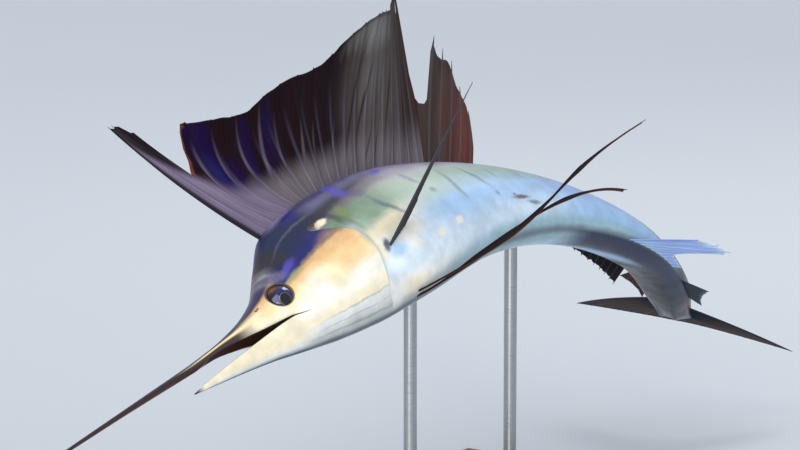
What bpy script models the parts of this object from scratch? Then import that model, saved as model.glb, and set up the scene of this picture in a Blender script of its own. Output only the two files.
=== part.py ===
"""A life-size display model of a leaping sailfish on a plain stand.

The fish is drawn straight, in its own measures: s runs from the tip of the closed lower jaw
towards the tail, y to the fish's right and z towards its back. The spine then bends it into
the pose of the leap. All sizes are in metres, and the floor is at world z = 0.
"""
import math

import bmesh
import bpy
from mathutils import Matrix, Quaternion, Vector

GAP = 0.0003                # clearance between touching pieces
SIDES = 32                  # corners round the body

# The leap: where the neck is, how the head points, and how the spine bends behind it.
NECK_STATION = 0.42
NECK_PLACE = Vector((-0.213, -0.300, 0.550))
HEAD_HEADING = math.radians(-130.0)
HEAD_PITCH = math.radians(-18.5)
HEAD_ROLL = math.radians(-47.0)
SPINE_END = 1.80
SPINE_STEP = 0.01
SIDE_BEND = ((0.42, 75), (0.75, 25), (1.10, 45), (1.45, 60), (1.80, -70))      # degrees a metre
BACK_BEND = ((0.42, -20), (0.75, 50), (1.10, 40), (1.45, -85), (1.80, -30))
TWIST = ((0.42, -35), (0.75, -45), (1.10, -30), (1.45, -25), (1.80, -15))

# Outline of the body: the height of its back, the depth of its belly and its half width.
BACK = ((0.0, 0.0234), (0.06, 0.0245), (0.13, 0.0315), (0.20, 0.051), (0.266, 0.098), (0.333, 0.144),
        (0.385, 0.156), (0.455, 0.161), (0.60, 0.159), (0.80, 0.142), (1.00, 0.122), (1.19, 0.102),
        (1.35, 0.085), (1.50, 0.066), (1.62, 0.056), (1.72, 0.043), (1.755, 0.040), (1.785, 0.040))
BELLY = ((0.27, 0.094), (0.306, 0.103), (0.385, 0.118), (0.455, 0.128), (0.60, 0.137), (0.80, 0.127),
         (1.00, 0.116), (1.19, 0.102), (1.35, 0.085), (1.50, 0.066), (1.62, 0.056), (1.72, 0.043),
         (1.755, 0.040), (1.785, 0.040))
FLANK = ((0.0, 0.0095), (0.06, 0.0152), (0.13, 0.0260), (0.20, 0.042), (0.266, 0.055), (0.333, 0.066),
         (0.385, 0.073), (0.455, 0.079), (0.60, 0.0825), (0.80, 0.075), (1.00, 0.0675), (1.19, 0.0585),
         (1.35, 0.0505), (1.50, 0.0405), (1.62, 0.038), (1.72, 0.030), (1.755, 0.022), (1.785, 0.007))
WIDEST = ((0.0, 0.0152), (0.06, 0.0150), (0.13, 0.0100), (0.20, 0.000), (0.30, 0.000))
CREST_POWER = ((0.0, 2.0), (0.13, 2.0), (0.28, 1.75), (0.42, 1.75), (0.60, 2.0))
PALATE_POWER = ((0.0, 2.0), (0.10, 2.6), (0.20, 4.0), (0.27, 5.0))
BELLY_POWER = 2.1

# Mouth
BILL_TIP = -0.44
BILL_HEIGHT = ((BILL_TIP, 0.0012), (-0.33, 0.0031), (-0.18, 0.0050), (0.0, 0.0082))
BILL_WIDTH = ((BILL_TIP, 0.0014), (-0.33, 0.0037), (-0.18, 0.0056), (0.0, 0.0095))
BILL_AXIS = ((BILL_TIP, 0.0294), (-0.18, 0.0218), (0.0, 0.0152))
UPPER_LIP = ((0.0, 0.0070), (0.06, 0.0060), (0.12, -0.0040), (0.17, -0.0150), (0.214, -0.0250),
             (0.274, -0.0400))
JAW_TIP = -0.035
JAW_HINGE = 0.2730
JAW_TOP = ((JAW_TIP, -0.0255), (0.083, -0.0220), (0.17, -0.0235), (0.214, -0.0262), (JAW_HINGE, -0.0410))
JAW_BOTTOM = ((JAW_TIP, -0.0275), (0.049, -0.0430), (0.152, -0.0640), (0.234, -0.0860), (JAW_HINGE, -0.0940))
JAW_WIDTH = ((JAW_TIP, 0.0015), (0.0, 0.0080), (0.08, 0.0180), (0.152, 0.0300), (0.214, 0.0415),
             (JAW_HINGE, 0.0515))
LIP_SWELL = 0.0016

# Gill cover: its free edge, how far it stands up, and the low ground behind it
GILL_EDGE = 0.457
GILL_START = 0.275
GILL_REAR = 0.475
GILL_RISE = 0.0032
GILL_DROP = 0.0020

# Eyes and nostrils
EYE_STATION = 0.235
EYE_HEIGHT = 0.020
EYE_RADIUS = 0.0245
EYE_DEPTH = 0.0140
EYE_SUNK = 0.0060
RIM_THICK = 0.0030
NOSTRILS = ((0.190, 0.0270), (0.181, 0.0255))
NOSTRIL_SIZE = Vector((0.0036, 0.0022, 0.0060))

# Tail stock keels: two low ridges a side
KEEL_START = 1.63
KEEL_PEAK = 1.73
KEEL_RISE = 0.0050
KEEL_CORNER = 2

# Where the body is parted
HEAD_END = GILL_REAR
FRONT_END = 0.75
MIDDLE_END = 1.10
REAR_END = 1.50
BODY_END = 1.785

# Sail: rays every few centimetres from the nape, each a gentle curve.
# ray number: backward lean of its chord and its bow in degrees, its length, and its lean to the left
SAIL_START = 0.335
SAIL_PITCH = 0.0265
SAIL_SHAPE = ((0, -11, 17, 0.357, 0), (2, -20, 10, 0.345, 3), (3, -5, 85, 0.255, 5), (4, 2, 92, 0.230, 6),
              (5, 8, 76, 0.215, 8), (6, 13, 55, 0.210, 10), (8.5, 31, 18, 0.257, 14), (9.5, 36, 17, 0.268, 15),
              (10.5, 41, 17, 0.292, 15), (11.2, 45, 16, 0.329, 16), (12, 49, 16, 0.386, 16),
              (14, 51, 12, 0.465, 16), (17, 45, -1, 0.500, 16), (20, 37.7, 0, 0.640, 16))
SAIL_REAR_SHAPE = ((20.50, 37.7, 0, 0.640, 16), (20.78, 43.5, 3, 0.490, 16), (21, 44.5, 4, 0.490, 16),
                   (23, 43, -2, 0.440, 16), (25, 41, -8, 0.280, 16))
ANAL_SHAPE = ((0, 48, 0, 0.140, 22), (1, 50, 0, 0.174, 20.5), (2, 52, 0, 0.191, 18), (3, 54, 0, 0.167, 18),
              (4, 56, 0, 0.095, 19.5), (5, 58, 0, 0.045, 20), (6, 60, 0, 0.030, 20), (9, 64, 0, 0.022, 18))
SMALL_DORSAL_SHAPE = ((0, 42, 0, 0.062, -8), (2, 52, 0, 0.045, -8), (4, 62, 0, 0.040, -8),
                      (5, 72, 0, 0.055, -8))
SMALL_ANAL_SHAPE = ((0, 42, 0, 0.062, 8), (2, 52, 0, 0.045, 8), (4, 62, 0, 0.040, 8), (5, 72, 0, 0.055, 8))
SAIL_LOW_SHAPE = ((25, 45, 0, 0.120, 12), (27, 50, 0, 0.090, -15), (31, 50, 0, 0.080, -45),
                  (38, 42, 0, 0.062, -66), (45, 38, 0, 0.060, -68))
LOBE_REAR = 2.09            # the lobe at the nape ends between rays
NOTCH_HEIGHT = 0.55         # how far up the notch behind the lobe starts
REAR_SPLIT = 20.50          # a second tear parts the tall sail from its rear piece
TEAR_MAIN = ((20.14, 0.80), (20.28, 0.44), (20.50, 0.37))
TEAR_REAR = ((20.57, 0.38), (20.72, 0.45), (20.80, 0.52), (20.86, 0.62), (20.92, 0.93))
SLIT = 0.070                # width of a tear at its root, in rays
LOW_SPLIT = 25.30
LAST_RAY = 45
RAY_THICK = 0.0034
RAY_TIP = 0.0012
MEMBRANE = 0.0012

# Stand
BASE_LENGTH = 0.78
BASE_WIDTH = 0.46
BASE_THICK = 0.032
BASE_TURN = math.radians(54.0)
BASE_EDGE = 0.006
ROD_RADIUS = 0.013
ROD_FOOT_RADIUS = 0.036
ROD_FOOT_THICK = 0.009
ROD_STATIONS = {"front": 0.66, "rear": 1.00}


def along(table, s):
    """A smooth curve through the table's points, level with its ends outside them."""
    if s <= table[0][0]:
        return table[0][1]
    if s >= table[-1][0]:
        return table[-1][1]
    i = next(k for k in range(len(table) - 1) if s <= table[k + 1][0])

    def slope(k):
        if k in (0, len(table) - 1):
            return (table[min(k + 1, len(table) - 1)][1] - table[max(k - 1, 0)][1]) / (
                table[min(k + 1, len(table) - 1)][0] - table[max(k - 1, 0)][0])
        before = (table[k][1] - table[k - 1][1]) / (table[k][0] - table[k - 1][0])
        after = (table[k + 1][1] - table[k][1]) / (table[k + 1][0] - table[k][0])
        return 0.0 if before * after <= 0 else 2 * before * after / (before + after)

    (s0, v0), (s1, v1) = table[i][:2], table[i + 1][:2]
    h = s1 - s0
    t = (s - s0) / h
    return (v0 * (1 + 2 * t) * (1 - t) ** 2 + slope(i) * h * t * (1 - t) ** 2
            + v1 * t * t * (3 - 2 * t) - slope(i + 1) * h * t * t * (1 - t))


def straight(table, s, column=1):
    """Straight runs between the table's points."""
    for a, b in zip(table, table[1:]):
        if s <= b[0]:
            t = min(max((s - a[0]) / (b[0] - a[0]), 0.0), 1.0)
            return a[column] + (b[column] - a[column]) * t
    return table[-1][column]


def ease(t):
    t = min(max(t, 0.0), 1.0)
    return t * t * (3 - 2 * t)


def head_frame():
    """Columns: tailwards, to the fish's right, towards its back."""
    nose = Vector((math.cos(HEAD_PITCH) * math.cos(HEAD_HEADING),
                   math.cos(HEAD_PITCH) * math.sin(HEAD_HEADING), math.sin(HEAD_PITCH)))
    side = Vector((0, 0, 1)).cross(nose).normalized()
    up = nose.cross(side)
    back = up * math.cos(HEAD_ROLL) + side * math.sin(HEAD_ROLL)
    tailwards = -nose
    return Matrix((tailwards, back.cross(tailwards), back)).transposed()


def bend_spine():
    """Centres and turns along the spine, from the neck to the end of the bend."""
    turn = head_frame().to_quaternion()
    centre = NECK_PLACE.copy()
    centres, turns = [centre.copy()], [turn.copy()]
    for k in range(round((SPINE_END - NECK_STATION) / SPINE_STEP)):
        s = NECK_STATION + (k + 0.5) * SPINE_STEP
        rates = Vector((straight(TWIST, s), straight(BACK_BEND, s), straight(SIDE_BEND, s)))
        angle = math.radians(rates.length) * SPINE_STEP
        after = turn @ Quaternion(rates.normalized(), angle)
        ahead = Vector((1, 0, 0))
        centre = centre + (turn @ ahead + after @ ahead) * (SPINE_STEP / 2)
        turn = after
        centres.append(centre.copy())
        turns.append(turn.copy())
    return centres, turns


CENTRES, TURNS = bend_spine()


def pose_at(s):
    """Centre and turn of the body at station s."""
    if s <= NECK_STATION:
        return CENTRES[0] + TURNS[0] @ Vector((s - NECK_STATION, 0, 0)), TURNS[0]
    if s >= SPINE_END:
        return CENTRES[-1] + TURNS[-1] @ Vector((s - SPINE_END, 0, 0)), TURNS[-1]
    f = (s - NECK_STATION) / SPINE_STEP
    i = min(int(f), len(CENTRES) - 2)
    return CENTRES[i].lerp(CENTRES[i + 1], f - i), TURNS[i].slerp(TURNS[i + 1], f - i)


def place(s, y, z):
    centre, turn = pose_at(s)
    return centre + turn @ Vector((0, y, z))


def direction(s, tailwards, right, back):
    return pose_at(s)[1] @ Vector((tailwards, right, back))


# The body's section at a station

def keel(s, corner):
    nearest = min(abs(corner - c) for c in (KEEL_CORNER, SIDES - KEEL_CORNER, SIDES // 2 - KEEL_CORNER,
                                            SIDES // 2 + KEEL_CORNER))
    if nearest or s < KEEL_START:
        return 0.0
    rise = ease((s - KEEL_START) / (KEEL_PEAK - KEEL_START))
    fall = 1 - ease((s - KEEL_PEAK) / (BODY_END - KEEL_PEAK))
    return KEEL_RISE * rise * fall


def section(s, corner, grow=0.0, mouth_open=False):
    """The point of one corner of the body's section, as y and z."""
    angle = 2 * math.pi * corner / SIDES
    c, w = math.cos(angle), math.sin(angle)
    middle = along(WIDEST, s)
    half = along(FLANK, s) + grow
    if w >= 0:
        power = along(CREST_POWER, s)
        height = along(BACK, s) - middle + grow
    elif mouth_open:
        power = along(PALATE_POWER, s)
        height = middle - along(UPPER_LIP, s) + grow
    else:
        power = BELLY_POWER
        height = along(BELLY, s) + middle + grow
    y = math.copysign(abs(c) ** (2 / power), c) * half if abs(c) > 1e-9 else 0.0
    z = middle + math.copysign(abs(w) ** (2 / power), w) * height if abs(w) > 1e-9 else middle
    if mouth_open and w < 0 and abs(c) > 0.25:
        y += math.copysign(LIP_SWELL * ease(s / 0.08), c)
    y += math.copysign(keel(s, corner), c)
    return y, z


def gill_line(angle):
    """Station of the gill cover's edge at an angle up (plus) or down (minus) from the flank's middle."""
    degrees = math.degrees(angle)
    if degrees >= 2:
        edge = GILL_EDGE - 0.130 * ((degrees - 2) / 45) ** 2
        return edge + (0.44 - edge) * ease((degrees - 32) / 20)
    return GILL_EDGE - 0.039 * ((degrees - 2) / 45) ** 2


def gill_strength(angle):
    return 1 - ease((math.degrees(angle) - 27) / 10)


def head_point(u, corner, mouth_open):
    """A point of the head's skin: u is the station before the gill cover's edge is bent to its line."""
    angle = 2 * math.pi * corner / SIDES
    up = math.asin(min(max(math.sin(angle), -1.0), 1.0))
    edge = gill_line(up)
    split = 0.44
    if u <= GILL_START:
        s = u
    elif u <= split:
        s = GILL_START + (u - GILL_START) * (edge - GILL_START) / (split - GILL_START)
    else:
        s = edge + (u - split) * (GILL_REAR - edge) / (GILL_REAR - split)
    y, z = section(s, corner, 0.0, mouth_open)
    if u <= split:
        lift = GILL_RISE * ease((u - 0.34) / (split - 0.34))
    else:
        lift = -GILL_DROP * (1 - ease((u - split - 0.002) / (GILL_REAR - 0.004 - split)))
    lift *= gill_strength(up)
    return place(s, y + lift * math.cos(angle), z + lift * math.sin(angle) * 0.6)


# Mesh helpers

def make_collection(name):
    collection = bpy.data.collections.new(name)
    bpy.context.scene.collection.children.link(collection)
    return collection


def material(name, colour, roughness, metallic=0.0):
    made = bpy.data.materials.get(name)
    if made is None:
        made = bpy.data.materials.new(name)
        made.use_nodes = True
        shader = made.node_tree.nodes["Principled BSDF"]
        shader.inputs["Base Color"].default_value = (*colour, 1.0)
        shader.inputs["Roughness"].default_value = roughness
        shader.inputs["Metallic"].default_value = metallic
    return made


FINISHES = {
    "bill": ((0.06, 0.04, 0.05), 0.45), "head": ((0.20, 0.20, 0.28), 0.35), "jaw": ((0.75, 0.68, 0.55), 0.35),
    "eye": ((0.03, 0.03, 0.10), 0.08), "body": ((0.45, 0.60, 0.72), 0.30), "tail": ((0.10, 0.16, 0.24), 0.35),
    "sail": ((0.06, 0.04, 0.10), 0.45), "fin": ((0.08, 0.06, 0.09), 0.45), "anal": ((0.30, 0.40, 0.75), 0.35),
    "wood": ((0.10, 0.055, 0.03), 0.40), "steel": ((0.60, 0.60, 0.62), 0.30),
}


def make_object(name, mesh, finish, collection):
    item = bpy.data.objects.new(name, mesh)
    colour, roughness = FINISHES[finish]
    mesh.materials.clear()
    mesh.materials.append(material(name + "_finish", colour, roughness, 1.0 if finish == "steel" else 0.0))
    collection.objects.link(item)
    return item


def mesh_from(bm, name):
    mesh = bpy.data.meshes.new(name)
    bm.normal_update()
    bm.to_mesh(mesh)
    bm.free()
    mesh.shade_smooth()
    mesh.set_sharp_from_angle(angle=math.radians(40))
    return mesh


def loft(rings):
    """A closed skin over rings of equal count, with its two end faces."""
    bm = bmesh.new()
    rows = [[bm.verts.new(p) for p in ring] for ring in rings]
    count = len(rows[0])
    for near, far in zip(rows, rows[1:]):
        for k in range(count):
            n = (k + 1) % count
            bm.faces.new((near[k], far[k], far[n], near[n]))
    bm.faces.new(rows[0])
    bm.faces.new(reversed(rows[-1]))
    bmesh.ops.recalc_face_normals(bm, faces=bm.faces)
    if bm.calc_volume(signed=True) < 0:
        bmesh.ops.reverse_faces(bm, faces=bm.faces)
    return bm


def sheet(columns, half_thick):
    """A thin closed fin: columns of points, with half its thickness at each, split alike on both faces."""
    across, up = len(columns), len(columns[0])
    normals = []
    for i in range(across):
        row = []
        for j in range(up):
            a = columns[min(i + 1, across - 1)][j] - columns[max(i - 1, 0)][j]
            b = columns[i][min(j + 1, up - 1)] - columns[i][max(j - 1, 0)]
            row.append(a.cross(b).normalized())
        normals.append(row)
    bm = bmesh.new()
    front, rear = [], []
    for i in range(across):
        front.append([bm.verts.new(columns[i][j] + normals[i][j] * half_thick[i][j]) for j in range(up)])
        rear.append([bm.verts.new(columns[i][j] - normals[i][j] * half_thick[i][j]) for j in range(up)])
    for i in range(across - 1):
        for j in range(up - 1):
            a, b, c, d = (i, j), (i + 1, j), (i + 1, j + 1), (i, j + 1)
            for tri in ((a, b, c), (a, c, d)):
                bm.faces.new([front[p][q] for p, q in tri])
                bm.faces.new([rear[p][q] for p, q in reversed(tri)])
    rim = [(i, 0) for i in range(across)] + [(across - 1, j) for j in range(1, up)]
    rim += [(i, up - 1) for i in range(across - 2, -1, -1)] + [(0, j) for j in range(up - 2, 0, -1)]
    for (i, j), (p, q) in zip(rim, rim[1:] + rim[:1]):
        bm.faces.new((front[p][q], front[i][j], rear[i][j]))
        bm.faces.new((front[p][q], rear[i][j], rear[p][q]))
    if bm.calc_volume(signed=True) < 0:
        bmesh.ops.reverse_faces(bm, faces=bm.faces)
    return bm


def keep_largest(mesh):
    """Drop every closed surface of the mesh but the one that holds most."""
    bm = bmesh.new()
    bm.from_mesh(mesh)
    left = set(bm.verts)
    pieces = []
    while left:
        seed = left.pop()
        group, edge = {seed}, [seed]
        while edge:
            corner = edge.pop()
            for link in corner.link_edges:
                other = link.other_vert(corner)
                if other in left:
                    left.discard(other)
                    group.add(other)
                    edge.append(other)
        pieces.append(group)
    largest = max(pieces, key=lambda group: sum(f.calc_area() for v in group for f in v.link_faces))
    bmesh.ops.delete(bm, geom=[v for group in pieces if group is not largest for v in group], context="VERTS")
    bmesh.ops.triangulate(bm, faces=bm.faces)
    bm.to_mesh(mesh)
    bm.free()


def apply_modifiers(item):
    evaluated = item.evaluated_get(bpy.context.evaluated_depsgraph_get())
    mesh = bpy.data.meshes.new_from_object(evaluated)
    item.modifiers.clear()
    item.data = mesh
    keep_largest(mesh)
    mesh.shade_smooth()
    mesh.set_sharp_from_angle(angle=math.radians(40))


def boolean(item, operation, other):
    """Join the item with, or cut it by, an object or a whole collection."""
    modifier = item.modifiers.new(operation.lower(), "BOOLEAN")
    modifier.operation = operation
    modifier.solver = "EXACT"
    if isinstance(other, bpy.types.Collection):
        modifier.operand_type = "COLLECTION"
        modifier.collection = other
    else:
        modifier.object = other


def empty_collection(collection):
    for item in list(collection.objects):
        bpy.data.objects.remove(item)
    bpy.data.collections.remove(collection)


# Body

HEAD_STATIONS = (0.0003, 0.03, 0.06, 0.09, 0.12, 0.145, 0.17, 0.19, 0.21, 0.23, 0.25, 0.2733)
HEAD_REAR_STATIONS = (0.2740, 0.29, 0.31, 0.333, 0.36, 0.385, 0.41, 0.43, 0.44)
BEHIND_GILL = (0.4415, 0.458, GILL_REAR)
TRUNK_STATIONS = (0.50, 0.54, 0.58, 0.62, 0.66, 0.70, 0.75, 0.80, 0.85, 0.90, 0.95, 1.00, 1.05, 1.10, 1.15,
                  1.20, 1.25, 1.30, 1.35, 1.40, 1.45, 1.50, 1.55, 1.60, 1.64, 1.675, 1.705, 1.73, 1.757)


def ring(s, grow=0.0):
    return [place(s, *section(s, corner, grow)) for corner in range(SIDES)]


def build_trunk(name, start, end, finish, parts):
    inner = [s for s in TRUNK_STATIONS if start + 0.01 < s < end - 0.01]
    stations = [start + GAP / 2] + inner + [end - GAP / 2]
    bm = loft([ring(s) for s in stations])
    return make_object(name, mesh_from(bm, name), finish, parts)


def build_core(cutters):
    """The body's skin, a hair larger: what grows from the body is cut back to it."""
    ends = (0.29, 0.31, 0.333, 0.36, 0.385, 0.41, 0.43, 0.44, GILL_REAR)
    stations = ends + TRUNK_STATIONS + (BODY_END + GAP,)
    bm = loft([ring(s, GAP) for s in stations])
    core = bpy.data.objects.new("body_core", mesh_from(bm, "body_core"))
    core.hide_render = True
    core.display_type = "WIRE"
    cutters.objects.link(core)
    return core


def build_head(parts, cutters):
    rings = [[head_point(u, corner, True) for corner in range(SIDES)] for u in HEAD_STATIONS]
    for u in HEAD_REAR_STATIONS + BEHIND_GILL:
        station = u if u < GILL_REAR else u - GAP / 2
        rings.append([head_point(station, corner, False) for corner in range(SIDES)])
    head = make_object("head", mesh_from(loft(rings), "head"), "head", parts)
    rims = make_collection("eye_rims")
    sockets = make_collection("sockets")
    for side in (-1, 1):
        spot, turn = eye_seat(side)
        bpy.ops.mesh.primitive_torus_add(major_segments=20, minor_segments=6, major_radius=EYE_RADIUS,
                                         minor_radius=RIM_THICK)
        rim = bpy.context.object
        rim.matrix_world = Matrix.Translation(spot) @ turn.to_matrix().to_4x4()
        move_to(rim, rims)
        sockets.objects.link(ball(spot, turn, EYE_RADIUS + GAP, EYE_DEPTH + GAP))
        for s, z in NOSTRILS:
            pit_spot, pit_turn = skin_seat(s, z, side)
            pit = ball(pit_spot, pit_turn, 1.0, 1.0)
            pit.matrix_world = pit.matrix_world @ Matrix.Diagonal((*NOSTRIL_SIZE, 1.0))
            sockets.objects.link(pit)
    boolean(head, "UNION", rims)
    apply_modifiers(head)
    boolean(head, "DIFFERENCE", sockets)
    apply_modifiers(head)
    empty_collection(rims)
    empty_collection(sockets)
    return head


def move_to(item, collection):
    for holder in list(item.users_collection):
        holder.objects.unlink(item)
    collection.objects.link(item)


def skin_seat(s, z, side):
    """A place on the head's side and the turn whose third axis points straight out of the skin."""
    def skin(station, height):
        half, middle = along(FLANK, station), along(WIDEST, station)
        tall, power = along(BACK, station) - middle, along(CREST_POWER, station)
        return Vector((station, side * half * (1 - ((height - middle) / tall) ** power) ** (1 / power), height))
    reach = 0.004
    out = (skin(s + reach, z) - skin(s - reach, z)).cross(skin(s, z + reach) - skin(s, z - reach))
    out = (out * (-1 if out.y * side < 0 else 1)).normalized()
    spot = skin(s, z)
    turn = TURNS[0] @ out.to_track_quat("Z", "X")
    return place(s, spot.y, z), turn


def eye_seat(side):
    spot, turn = skin_seat(EYE_STATION, EYE_HEIGHT, side)
    return spot - turn @ Vector((0, 0, EYE_SUNK)), turn


def ball(spot, turn, radius, depth):
    bm = bmesh.new()
    bmesh.ops.create_uvsphere(bm, u_segments=20, v_segments=10, radius=1.0)
    mesh = bpy.data.meshes.new("ball")
    bm.to_mesh(mesh)
    bm.free()
    mesh.shade_smooth()
    item = bpy.data.objects.new("ball", mesh)
    item.matrix_world = (Matrix.Translation(spot) @ turn.to_matrix().to_4x4()
                         @ Matrix.Diagonal((radius, radius, depth, 1.0)))
    return item


def build_eyes(parts):
    for side, word in ((-1, "left"), (1, "right")):
        spot, turn = eye_seat(side)
        eye = ball(spot, turn, EYE_RADIUS, EYE_DEPTH)
        eye.name = "eye_" + word
        eye.data.materials.append(material(eye.name + "_finish", *FINISHES["eye"]))
        parts.objects.link(eye)


def build_bill(parts):
    sides = 12
    stations = [BILL_TIP + (-GAP / 2 - BILL_TIP) * k / 11 for k in range(12)]
    rings = []
    for s in stations:
        high, wide, axis = along(BILL_HEIGHT, s), along(BILL_WIDTH, s), along(BILL_AXIS, s)
        angles = [2 * math.pi * k / sides for k in range(sides)]
        rings.append([place(s, wide * math.cos(a), axis + high * math.sin(a)) for a in angles])
    make_object("bill", mesh_from(loft(rings), "bill"), "bill", parts)


def build_lower_jaw(parts):
    """A pointed trough, hung below the upper lip."""
    arc = 13
    trough = 0.004
    stations = [JAW_TIP, -0.01] + [0.02 + 0.028 * k for k in range(9)] + [JAW_HINGE - GAP]
    rings = []
    for s in stations:
        top, low, half = along(JAW_TOP, s), along(JAW_BOTTOM, s), along(JAW_WIDTH, s)
        points = []
        for k in range(arc):
            a = math.pi * k / (arc - 1)
            c = math.cos(a)
            y = math.copysign(abs(c) ** (2 / 1.7), c) * half
            points.append((y, top + (low - top) * math.sin(a) ** (2 / 1.7)))
        dip = min(trough, half * 0.3)
        points += [(-half * 0.55, top - dip), (0.0, top - dip * 1.3), (half * 0.55, top - dip)]
        rings.append([place(s, y, z) for y, z in points])
    make_object("lower_jaw", mesh_from(loft(rings), "lower_jaw"), "jaw", parts)


# Fins: each ray is a chord with a bow, and the membrane is drawn through all of them

class Ray:
    """One fin ray: its root, its chord, its bow to one side, the way its root is sunk, how far its bow
    sits towards the root, and how far it stands off sideways along its length."""

    def __init__(self, root, chord, bow, sink, skew=0.0, aside=Vector(), profile=((0.0, 0.0), (1.0, 0.0))):
        self.root, self.chord, self.bow, self.sink, self.skew = root, chord, bow, sink, skew
        self.aside, self.profile = aside, profile

    def at(self, u):
        off = self.aside * straight(self.profile, max(u, 0.0))
        if u < 0:
            return self.root + self.sink * -u + off
        return self.root + self.chord * u + self.bow * (4 * u * (1 - u) * (1 - self.skew * (2 * u - 1))) + off


def build_fin(name, ray_at, first, last, edge_at, rows, finish, parts, core, thick=RAY_THICK, tip=RAY_TIP,
              membrane=MEMBRANE, extra=()):
    """A membrane with a raised ridge along each whole-numbered ray, cut back to the body's skin."""
    width = 0.14
    places = {first, last, *extra}
    for k in range(math.ceil(first), math.floor(last) + 1):
        places |= {q for q in (k - width, k, k + width) if first <= q <= last}
    columns, halves = [], []
    for q in sorted(places):
        ray = ray_at(q)
        top = edge_at(q)
        is_ray = abs(q - round(q)) < 1e-6
        heights = [-1.0] + [top * j / rows for j in range(rows + 1)]
        columns.append([ray.at(u) for u in heights])
        if is_ray:
            halves.append([(thick + (tip - thick) * max(u, 0.0)) / 2 for u in heights])
        else:
            halves.append([max(membrane * (1 - 0.45 * max(u, 0.0)), 0.0006) / 2 for u in heights])
    fin = make_object(name, mesh_from(sheet(columns, halves), name), finish, parts)
    boolean(fin, "DIFFERENCE", core)
    apply_modifiers(fin)
    return fin


def midline_ray(s, side_up, lean, bow, length, side_lean):
    """A ray on the body's midline: side_up is 1 on the back and -1 on the belly."""
    height = along(BACK, s) if side_up > 0 else -along(BELLY, s)
    tilt = math.radians(side_lean)

    def way(angle):
        return direction(s, math.sin(angle) * math.cos(tilt), -math.sin(tilt),
                         side_up * math.cos(angle) * math.cos(tilt))
    lean = math.radians(lean)
    across = -way(lean + math.pi / 2) * (length * math.tan(math.radians(bow) / 8))
    inward = direction(s, 0, 0, -side_up) * 0.016
    return Ray(place(s, 0, height), way(lean) * length, across, inward)


def sail_ray(shape):
    def ray_at(q):
        return midline_ray(SAIL_START + SAIL_PITCH * q, 1, straight(shape, q, 1), straight(shape, q, 2),
                           straight(shape, q, 3), straight(shape, q, 4))
    return ray_at


def build_sail(parts, core):
    def whole(q):
        return abs(q - round(q)) < 1e-6

    def edge_front(q):
        return 1.0 if q <= 2.0 else 0.93

    def edge_main(q):
        if q < 2.5:
            return NOTCH_HEIGHT
        if q < 2.95:
            return 0.76
        if q < 19.5 or whole(q):
            return 1.0 if whole(q) else 0.985
        return 0.84 if q < 20 else along(TEAR_MAIN, q)

    def edge_rear(q):
        if q > 25.2:
            return 0.55
        if q < 20.9:
            return straight(TEAR_REAR, q)
        return 1.0 if whole(q) else 0.93

    def edge_low(q):
        return 1.0 if whole(q) else 0.94

    build_fin("sail_front", sail_ray(SAIL_SHAPE), 0, LOBE_REAR, edge_front, 6, "sail", parts, core)
    build_fin("sail_main", sail_ray(SAIL_SHAPE), LOBE_REAR + SLIT, REAR_SPLIT, edge_main, 6, "sail", parts, core,
              extra=(20.28,))
    build_fin("sail_rear", sail_ray(SAIL_REAR_SHAPE), REAR_SPLIT + SLIT, LOW_SPLIT, edge_rear, 6, "sail", parts,
              core, extra=(20.72, 20.80))
    build_fin("sail_low", sail_ray(SAIL_LOW_SHAPE), LOW_SPLIT + SLIT, LAST_RAY, edge_low, 2, "sail", parts, core)


def build_dorsal_and_anal(parts, core):
    def fin_rays(start, pitch, side_up, shape):
        def ray_at(q):
            return midline_ray(start + pitch * q, side_up, straight(shape, q, 1), straight(shape, q, 2),
                               straight(shape, q, 3), straight(shape, q, 4))
        return ray_at

    def edge(q):
        return 1.0 if abs(q - round(q)) < 1e-6 else 0.95

    build_fin("first_anal_fin", fin_rays(1.275, 0.021, -1, ANAL_SHAPE), 0, 9, edge, 4, "anal", parts, core)
    build_fin("second_dorsal_fin", fin_rays(1.575, 0.018, 1, SMALL_DORSAL_SHAPE), 0, 5, edge, 3, "fin", parts, core)
    build_fin("second_anal_fin", fin_rays(1.550, 0.018, -1, SMALL_ANAL_SHAPE), 0, 5, edge, 3, "fin", parts, core)


def build_pectorals(parts, core):
    last = 6

    def rays(side):
        def ray_at(q):
            t = q / last
            s = 0.482 + 0.0085 * q
            y, z = side * 0.0755, -0.038 + 0.010 * t
            lead, trail = Vector((0.60, side * 0.79, 0.26)), Vector((0.80, side * 0.56, 0.28))
            way = lead.lerp(trail, t).normalized()
            length = 0.070 + 0.277 * (1 - t) ** 2.0
            inward = direction(s, 0.0, -side, -0.1) * 0.018
            return Ray(place(s, y, z), direction(s, *way) * length, direction(s, -0.5, side * 0.4, 0) * 0.010 * (1 - t),
                       inward)
        return ray_at

    def edge(q):
        return 1.0 if abs(q - round(q)) < 1e-6 else 0.975

    for side, word in ((-1, "left"), (1, "right")):
        build_fin("pectoral_fin_" + word, rays(side), 0, last, edge, 7, "fin", parts, core, thick=0.0055)


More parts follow.
